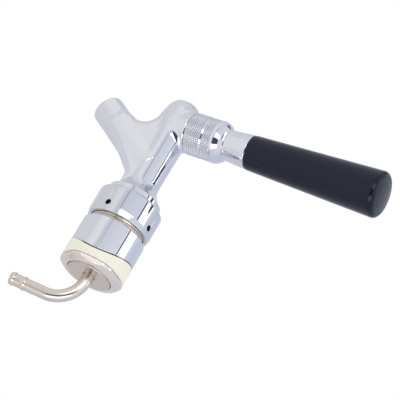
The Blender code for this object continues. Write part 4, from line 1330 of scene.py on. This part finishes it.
@dataclass
class ColumnClamp:
    """Sleeve, cream washer, hexagon nut and threaded shank, turned together by the roll."""

    thread_r: float = 13.9
    head_r: float = 16.9
    head_rear: float = 15.2
    shank_front: float = 28.4
    shank_rear: float = -16.2
    socket_r: float = 3.85
    socket_depth: float = 10.0
    passage_r: float = 5.0
    pocket_r: float = 9.2
    pocket_floor: float = 12.4
    pitch: float = 1.5
    thread_depth: float = 0.5
    thread_fade: float = 0.6
    thread_run_in: float = 0.4
    head_edge: float = 1.0
    socket_step: float = 1.5
    pocket_taper: float = 2.0
    sleeve_r: float = 19.7
    sleeve_front: float = 14.9
    bore_r: float = 14.2
    washer_r: float = 19.9
    washer_rear: float = -11.6
    washer_gap: float = 0.35
    nut_front: float = -11.9
    nut_rear: float = -15.6
    nut_flat_r: float = 18.5
    nut_turned_r: float = 19.9
    nut_bevel: float = 2.0
    nut_corner: float = 35.5
    nut_face: float = 2.0
    nut_columns: int = 360
    columns: int = 288
    chrome: Finish = TURNED_CHROME
    brass: Finish = NICKELLED_BRASS
    cream: Finish = CREAM_NYLON
    steel: Finish = TURNED_STEEL

    def saddle(self, rings: Array, radius: float, share: Array) -> Array:
        """Slide each point along X by the column's fall at its own y, times its share.

        The fall is sqrt(radius^2 - y^2) - radius: nothing at the crown and most at
        the sides.

        Args:
            rings: (rows, columns, 3) points in mm, in the shape's own frame.
            radius: radius of the column's wall.
            share: share of the fall that each row takes.

        Returns:
            The moved points.
        """
        fall = np.sqrt(radius ** 2 - rings[..., 0] ** 2) - radius
        moved = rings.copy()
        moved[..., 2] += fall * share[:, None]
        return moved

    def sleeve(self) -> None:
        """Chromed spacer whose rear end follows the column."""
        profile = rounded([(self.bore_r, self.sleeve_front, 0.3), (self.sleeve_r, self.sleeve_front, 0.5),
                           (self.sleeve_r, 0.0, 0.15), (self.bore_r, 0.0, 0.15)])
        share = np.clip(1.0 - profile[:, 1] / (self.sleeve_front - 1.0), 0.0, 1.0)
        rings = self.saddle(revolve(profile, self.columns), COLUMN_R, share)
        made = ring_solid("saddle_sleeve", along_shank(rings, TAIL_ROLL), closed=True)
        dress(made, "shank_sleeve", Body.TAP, self.chrome)

    def washer(self) -> None:
        """Cream washer behind the sleeve, with the saddle on its front."""
        front = -CLEARANCE - self.washer_gap
        profile = rounded([(self.bore_r, front, 0.2), (self.washer_r, front, 0.3),
                           (self.washer_r, self.washer_rear, 0.5), (self.bore_r, self.washer_rear, 0.3)])
        share = np.clip((profile[:, 1] - self.washer_rear) / (front - self.washer_rear), 0.0, 1.0)
        rings = self.saddle(revolve(profile, self.columns), COLUMN_R - CLEARANCE, share)
        made = ring_solid("nylon_washer", along_shank(rings, TAIL_ROLL), closed=True)
        dress(made, "saddle_washer", Body.TAP, self.cream)

    def nut(self) -> None:
        """Hexagon nut: a turned outside, held in by the six flats.

        The radius at angle t is the lesser of the turned profile's and
        flat / cos(t'), where t' is the angle from the nearest flat's middle.
        """
        front, rear, edge = self.nut_front, self.nut_rear, self.nut_turned_r
        profile = rounded([(self.bore_r, front, 0.2), (edge, front, 0.3), (edge, rear + self.nut_bevel, 0.4),
                           (self.nut_flat_r - self.nut_face, rear, 0.3), (self.bore_r, rear, 0.3)])
        profile = np.concatenate([profile[:1]] + [a + (b - a) * np.linspace(0.0, 1.0, 5)[1:, None]
                                                  for a, b in zip(profile, profile[1:])])
        rings = revolve(profile, self.nut_columns)
        angle = np.degrees(np.arctan2(rings[..., 1], rings[..., 0])) - self.nut_corner - 30.0
        off = np.radians((angle + 30.0) % 60.0 - 30.0)
        radial = np.hypot(rings[..., 0], rings[..., 1])
        limit = self.nut_flat_r / np.cos(off)
        scale = np.minimum(radial, limit) / radial
        rings[..., 0] *= scale
        rings[..., 1] *= scale
        made = ring_solid("hexagon_nut", along_shank(rings, TAIL_ROLL), closed=True)
        dress(made, "shank_nut", Body.TAP, self.steel)

    def shank(self) -> None:
        """Shank with a thread on its head.

        The radius falls by depth * tri(h / pitch - t / turn), a triangle wave that
        climbs one pitch each turn, which fades out at the ends of the head.
        """
        front, rear, run_in = self.shank_front, self.head_rear, self.thread_run_in
        floor = self.shank_rear + self.socket_depth
        outside = rounded([(self.pocket_r, front, 0.3), (self.head_r, front, 0.6),
                           (self.head_r, front - self.head_edge, 0.0)], closed=False)[:-1]
        heights = np.arange(front - self.head_edge, rear + 0.5, -self.pitch / 10.0)
        thread = np.stack([np.full(len(heights), self.head_r), heights], axis=1)
        inside = rounded([(self.head_r, rear + run_in, 0.0), (self.head_r - run_in, rear, 0.1),
                          (self.thread_r, rear, 0.2), (self.thread_r, self.shank_rear, 0.7),
                          (self.socket_r, self.shank_rear, 0.4), (self.socket_r, floor, 0.2),
                          (self.passage_r - self.socket_step, floor, 0.2),
                          (self.passage_r, self.pocket_floor - self.pocket_taper, 0.5),
                          (self.pocket_r, self.pocket_floor, 0.5), (self.pocket_r, front, 0.0)],
                         closed=False)[:-1]
        profile = np.concatenate([outside, thread, inside])
        rings = revolve(profile, self.columns)
        turn = np.linspace(0.0, 1.0, self.columns, endpoint=False)
        wave = profile[:, 1:] / self.pitch - turn
        groove = np.abs(2.0 * (wave % 1.0) - 1.0)
        on_thread = np.zeros(len(profile))
        on_thread[len(outside):len(outside) + len(thread)] = 1.0
        room = np.minimum(profile[:, 1] - rear - run_in, front - self.head_edge - profile[:, 1])
        fade = np.clip(room / self.thread_fade, 0.0, 1.0)
        scale = 1.0 - self.thread_depth * groove * (on_thread * fade)[:, None] / profile[:, :1]
        rings[..., 0] *= scale
        rings[..., 1] *= scale
        made = ring_solid("threaded_shank", along_shank(rings, TAIL_ROLL), closed=True)
        dress(made, "shank", Body.TAP, self.brass)

    def build(self) -> None:
        """Make the four pieces of the clamp."""
        self.sleeve()
        self.washer()
        self.nut()
        self.shank()


@dataclass
class HoseTail:
    """Bent stainless tube with two barbs."""

    tube_r: float = 3.75
    bore_r: float = 2.6
    start: float = -6.5
    bend_start: float = -19.2
    bend_r: float = 17.6
    leg_end: float = -39.6
    barb_rise: float = 0.4
    barb_pitch: float = 7.0
    barb_length: float = 2.6
    barb_lip: float = 0.2
    barb_crest: Pair = (0.3, 1.0)
    end_fall: float = -0.35
    columns: int = 96
    rows: int = 260
    steel: Finish = DRAWN_STEEL

    def centre_line(self, count: int) -> Array:
        """Straight run, quarter circle and leg, at even steps of length.

        Args:
            count: number of points.

        Returns:
            (count, 2) array of (x, z) in mm.
        """
        straight = self.start - self.bend_start
        curve = self.bend_r * math.pi / 2.0
        leg = -self.leg_end - self.bend_r
        s = np.linspace(0.0, straight + curve + leg, count)
        turn = np.clip((s - straight) / self.bend_r, 0.0, math.pi / 2.0)
        x = self.start - np.minimum(s, straight) - self.bend_r * np.sin(turn)
        z = -self.bend_r * (1.0 - np.cos(turn)) - np.maximum(s - straight - curve, 0.0)
        return np.stack([x, z], axis=-1)

    def wall_radius(self, z: Array) -> Array:
        """Tube radius down the leg: each barb rises sharply and falls back over its length.

        Args:
            z: heights along the leg in mm.

        Returns:
            Radius at each height in mm.
        """
        radius = np.full(z.shape, self.tube_r)
        places = [-self.barb_lip, *self.barb_crest, self.barb_length]
        for number, fall in enumerate((self.end_fall, 0.0)):
            below = self.leg_end + number * self.barb_pitch + self.barb_length - z
            rise = np.interp(below, places, [0.0, 1.0, 1.0, fall])
            on_barb = (below > -self.barb_lip) & (below < self.barb_length + 0.01)
            radius = np.where(on_barb, self.tube_r + self.barb_rise * rise, radius)
        return radius

    def build(self) -> None:
        """Sweep the wall down the outside and back up the bore."""
        path = self.centre_line(self.rows)
        outside = sweep(path, self.wall_radius(path[:, 1]), self.columns)
        inside = sweep(path, np.full(len(path), self.bore_r), self.columns)[::-1]
        rings = np.concatenate([outside, inside])
        own = np.stack([rings[..., 1], rings[..., 2], rings[..., 0]], axis=-1)
        made = ring_solid("hose_tail", along_shank(own, TAIL_ROLL), closed=True)
        dress(made, "tail_elbow", Body.TAP, self.steel)


@dataclass
class HiddenParts:
    """Finishes of the pieces inside, which keep their CAD shape."""

    finishes: dict[str, Finish] = field(default_factory=lambda: {
        "lever_stem": POLISHED_STEEL,
        "grip_insert": TURNED_BRASS,
        "friction_ring": WHITE_ACETAL,
        "ball_seat": WHITE_ACETAL,
        "valve_shaft": SHAFT_STEEL,
        "shaft_o_ring": NITRILE,
        "seat_seal": NITRILE,
        "seal_nut": SHAFT_STEEL,
        "coupling_washer": NITRILE,
        "snap_ring": SPRING_STEEL,
    })

    def build(self) -> None:
        """Give each hidden CAD node its finish."""
        for node, finish in self.finishes.items():
            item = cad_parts[node]
            item.data.materials.clear()
            item.data.materials.append(finish.material())
            log.info("%s: %s", node, finish.name)


# Studio

class Span(Enum):
    """How the two spans of a panel are read."""

    SLOPE = "x / z and y / z of a flat panel overhead"
    ANGLE = "azimuth and elevation in degrees"


@dataclass(frozen=True)
class Panel:
    """A softbox or card that only the reflections see."""

    name: str
    span: Span
    first: Pair
    second: Pair
    colour: str
    strength: float
    soft: Pair = (0.0, 0.0)
    distance: float = 1.1
    steps: int = 12

    def edge(self, tree: bpy.types.NodeTree) -> bpy.types.NodeSocket:
        """Share of light left near the panel's edges, from its own UV map.

        With t = |uv - 0.5| in each direction, the share falls smoothly from 1 at
        0.5 - soft to 0 at 0.5, and the two directions are multiplied.

        Args:
            tree: the panel's node tree.

        Returns:
            Socket that gives the share.
        """
        where = add_node(tree, "ShaderNodeUVMap", {"uv_map": "panel"})
        parts = add_node(tree, "ShaderNodeSeparateXYZ", None, {0: where.outputs[0]})
        shares = []
        for number, soft in enumerate(self.soft):
            off = add_node(tree, "ShaderNodeMath", {"operation": "SUBTRACT", 1: 0.5},
                           {0: parts.outputs[number]})
            size = add_node(tree, "ShaderNodeMath", {"operation": "ABSOLUTE"}, {0: off.outputs[0]})
            fall = add_node(tree, "ShaderNodeMapRange",
                            {"interpolation_type": "SMOOTHSTEP", "From Min": 0.5 - max(soft, 1e-4),
                             "From Max": 0.5, "To Min": 1.0, "To Max": 0.0}, {"Value": size.outputs[0]})
            shares.append(fall.outputs["Result"])
        both = add_node(tree, "ShaderNodeMath", {"operation": "MULTIPLY"}, {0: shares[0], 1: shares[1]})
        return both.outputs[0]

    def points(self) -> Array:
        """Grid of the panel's points about the tap, in metres.

        A slope span (a, b) at the distance h is the point (a h, b h, h). An angle
        span (t, e) at the distance d is d (cos e cos t, cos e sin t, sin e).

        Returns:
            (steps, steps, 3) array.
        """
        spans = [np.linspace(*span, self.steps) for span in (self.first, self.second)]
        a, b = np.meshgrid(*spans, indexing="ij")
        if self.span is Span.SLOPE:
            return self.distance * np.stack([a, b, np.ones_like(a)], axis=-1)
        turn, rise = np.radians(a), np.radians(b)
        way = [np.cos(rise) * np.cos(turn), np.cos(rise) * np.sin(turn), np.sin(rise)]
        return self.distance * np.stack(way, axis=-1)

    def build(self, centre: Triple) -> None:
        """Make the panel about a centre, hidden from the camera and casting no shadow.

        Args:
            centre: middle of the tap in metres.
        """
        index = np.arange(self.steps ** 2).reshape(self.steps, self.steps)
        corners = [index[:-1, :-1], index[1:, :-1], index[1:, 1:], index[:-1, 1:]]
        quads = np.stack(corners, axis=-1).reshape(-1, 4)
        mesh = bpy.data.meshes.new(self.name)
        mesh.from_pydata(self.points().reshape(-1, 3) + np.array(centre), [], quads.tolist())
        even = np.linspace(0.0, 1.0, self.steps)
        u, v = np.meshgrid(even, even, indexing="ij")
        own = np.stack([u, v], axis=-1).reshape(-1, 2)[quads.reshape(-1)]
        mesh.uv_layers.new(name="panel").uv.foreach_set("vector", own.reshape(-1).astype(np.float32))
        made = bpy.data.objects.new(self.name, mesh)
        bpy.context.scene.collection.objects.link(made)
        cloth = bpy.data.materials.new(self.name)
        cloth.use_nodes = True
        tree = cloth.node_tree
        glow = add_node(tree, "ShaderNodeEmission", {"Color": linear(self.colour), "Strength": self.strength})
        clear = add_node(tree, "ShaderNodeBsdfTransparent")
        mix = add_node(tree, "ShaderNodeMixShader", None,
                       {0: self.edge(tree), 1: clear.outputs[0], 2: glow.outputs[0]})
        tree.links.new(mix.outputs[0], tree.nodes["Material Output"].inputs["Surface"])
        mesh.materials.append(cloth)
        made.visible_camera = False
        made.visible_shadow = False
        made.visible_diffuse = False


@dataclass
class Studio:
    """White floor and backdrop, softboxes and cards that the chrome mirrors, and the camera."""

    camera_place: Triple = (-0.5972, 1.2960, 0.6841)
    camera_right: Triple = (0.4596, -0.2010, 0.8651)
    camera_up: Triple = (0.7879, 0.5418, -0.2928)
    lens: float = 246.154
    sensor: float = 36.0
    floor_z: float = -0.5
    floor_side: float = 12.0
    floor_colour: str = "f2f2f2"
    floor_roughness: float = 0.9
    tent: float = 1.0
    centre: Triple = (0.06, 0.0, 0.03)
    panels: tuple[Panel, ...] = (
        Panel("overhead_softbox", Span.SLOPE, (0.10, 0.95), (-0.30, 0.32), "ffffff", 1.9, (0.1, 0.16)),
        Panel("softbox_frame", Span.SLOPE, (0.10, 0.95), (0.29, 0.39), "3c4150", 1.0, (0.05, 0.15)),
        Panel("tent_opening", Span.ANGLE, (99.0, 135.0), (-8.0, 56.0), "454e5e", 1.0, (0.03, 0.1)),
        Panel("side_softbox_right", Span.ANGLE, (73.0, 99.0), (1.0, 56.0), "ffffff", 2.6, (0.08, 0.1)),
        Panel("side_softbox_left", Span.ANGLE, (135.0, 162.0), (-8.0, 56.0), "ffffff", 2.6, (0.08, 0.1)),
        Panel("horizon_seam", Span.ANGLE, (45.0, 73.0), (-1.2, 1.6), "50566a", 1.0, (0.2, 0.4)),
        Panel("end_opening", Span.ANGLE, (-26.0, -3.0), (3.0, 26.0), "6a7183", 1.0, (0.2, 0.2)),
    )
    floor_stops: tuple[tuple[float, str], ...] = (
        (-0.5, "dcdfe8"), (-0.1, "e6e8ec"), (0.2, "ededef"), (0.45, "ececee"), (0.7, "f8f8f9"),
        (1.1, "fefefe"), (1.9, "f8f8fa"), (3.6, "dfe2e8"))
    tent_low: str = "e2e6ee"
    tent_high: str = "f5f8ff"
    tent_back: str = "dae0ed"
    tent_back_span: Pair = (-0.15, -0.6)

    def camera(self) -> None:
        """Camera at the photograph's place, turned about its own axis as the photograph is."""
        right = Vector(self.camera_right).normalized()
        up = Vector(self.camera_up)
        up = (up - right * up.dot(right)).normalized()
        back = right.cross(up)
        data = bpy.data.cameras.new("camera")
        data.lens = self.lens
        data.sensor_width = self.sensor
        data.sensor_fit = "HORIZONTAL"
        data.clip_start = 0.05
        made = bpy.data.objects.new("camera", data)
        turn = Matrix((right, up, back)).transposed().to_4x4()
        made.matrix_world = Matrix.Translation(self.camera_place) @ turn
        bpy.context.scene.collection.objects.link(made)
        bpy.context.scene.camera = made

    def white_rays(self, tree: bpy.types.NodeTree) -> bpy.types.NodeSocket:
        """One for the rays that see the background as white: camera and transmission.

        Args:
            tree: node tree of the floor.

        Returns:
            Socket that gives one or nothing.
        """
        rays = add_node(tree, "ShaderNodeLightPath")
        seen = add_node(tree, "ShaderNodeMath", {"operation": "MAXIMUM"},
                        {0: rays.outputs["Is Camera Ray"], 1: rays.outputs["Is Transmission Ray"]})
        return seen.outputs[0]

    def mirrored(self, tree: bpy.types.NodeTree, plain: bpy.types.NodeSocket,
                 seen: bpy.types.NodeSocket) -> bpy.types.NodeSocket:
        """Let the chrome mirror one shader while all other rays meet another.

        Args:
            tree: node tree of the floor or the world.
            plain: shader for the other rays.
            seen: shader for the glossy ones.

        Returns:
            Socket of the mixed shader.
        """
        rays = add_node(tree, "ShaderNodeLightPath")
        mix = add_node(tree, "ShaderNodeMixShader", None,
                       {0: rays.outputs["Is Glossy Ray"], 1: plain, 2: seen})
        return mix.outputs[0]

    def shading(self, tree: bpy.types.NodeTree) -> bpy.types.NodeSocket:
        """Uneven light on the floor, in soft bands across Y, as the chrome mirrors it.

        Args:
            tree: node tree of the floor.

        Returns:
            Socket that gives the colour.
        """
        where = add_node(tree, "ShaderNodeTexCoord")
        parts = add_node(tree, "ShaderNodeSeparateXYZ", None, {0: where.outputs["Object"]})
        low, high = self.floor_stops[0][0], self.floor_stops[-1][0]
        share = add_node(tree, "ShaderNodeMapRange", {"From Min": low, "From Max": high},
                         {"Value": parts.outputs["Y"]})
        bands = add_node(tree, "ShaderNodeValToRGB", None, {0: share.outputs["Result"]})
        ramp = bands.color_ramp
        ramp.interpolation = "EASE"
        for place, colour in self.floor_stops[1:-1]:
            ramp.elements.new((place - low) / (high - low)).color = linear(colour)
        ramp.elements[0].color = linear(self.floor_stops[0][1])
        ramp.elements[-1].color = linear(self.floor_stops[-1][1])
        return bands.outputs["Color"]

    def world(self) -> None:
        """White light all round; the chrome mirrors the cooler cloth of a light tent in it."""
        made = bpy.data.worlds.new("light_tent")
        made.use_nodes = True
        tree = made.node_tree
        tent = tree.nodes["Background"]
        where = add_node(tree, "ShaderNodeTexCoord")
        parts = add_node(tree, "ShaderNodeSeparateXYZ", None, {0: where.outputs["Object"]})
        up = add_node(tree, "ShaderNodeMix",
                      {"data_type": "RGBA", 6: linear(self.tent_low), 7: linear(self.tent_high)},
                      {0: parts.outputs["Z"]})
        away = add_node(tree, "ShaderNodeMapRange",
                        {"From Min": self.tent_back_span[0], "From Max": self.tent_back_span[1]},
                        {"Value": parts.outputs["Y"]})
        wall = add_node(tree, "ShaderNodeMix", {"data_type": "RGBA", 7: linear(self.tent_back)},
                        {0: away.outputs["Result"], 6: up.outputs[2]})
        tree.links.new(wall.outputs[2], tent.inputs["Color"])
        tent.inputs["Strength"].default_value = self.tent
        paper = add_node(tree, "ShaderNodeBackground", {"Color": (1.0, 1.0, 1.0, 1.0), "Strength": 1.0})
        both = self.mirrored(tree, paper.outputs[0], tent.outputs[0])
        tree.links.new(both, tree.nodes["World Output"].inputs["Surface"])
        bpy.context.scene.world = made

    def floor(self) -> None:
        """Floor that is pure white to the camera, so it shows no shadow there.

        The chrome mirrors soft grey bands in it, and all other rays meet matt paper.
        """
        side, z = self.floor_side, self.floor_z
        mesh = bpy.data.meshes.new("floor")
        mesh.from_pydata([(-side, -side, z), (side, -side, z), (side, side, z), (-side, side, z)], [],
                         [(0, 1, 2, 3)])
        made = bpy.data.objects.new("floor", mesh)
        bpy.context.scene.collection.objects.link(made)
        paper = bpy.data.materials.new("white_paper")
        paper.use_nodes = True
        tree = paper.node_tree
        shader = tree.nodes["Principled BSDF"]
        shader.inputs["Base Color"].default_value = linear(self.floor_colour)
        shader.inputs["Roughness"].default_value = self.floor_roughness
        white = add_node(tree, "ShaderNodeEmission", {"Strength": 1.0})
        bands = add_node(tree, "ShaderNodeEmission", {"Strength": 1.0}, {0: self.shading(tree)})
        lit = self.mirrored(tree, shader.outputs[0], bands.outputs[0])
        mix = add_node(tree, "ShaderNodeMixShader", None,
                       {0: self.white_rays(tree), 1: lit, 2: white.outputs[0]})
        tree.links.new(mix.outputs[0], tree.nodes["Material Output"].inputs["Surface"])
        mesh.materials.append(paper)

    def build(self) -> None:
        """Set the stage round the tap."""
        bpy.context.scene.view_settings.view_transform = "Standard"
        self.camera()
        self.world()
        self.floor()
        for panel in self.panels:
            panel.build(self.centre)
            log.info("panel %s", panel.name)


def main() -> None:
    """Build every sub-assembly, then the studio."""
    logging.basicConfig(level=logging.INFO, format="%(name)s: %(message)s")
    for assembly in (TapBody(), Bonnet(), Handle(), Coupling(), ColumnClamp(), HoseTail(), HiddenParts()):
        assembly.build()
    Studio().build()


if __name__ == "__main__":
    main()
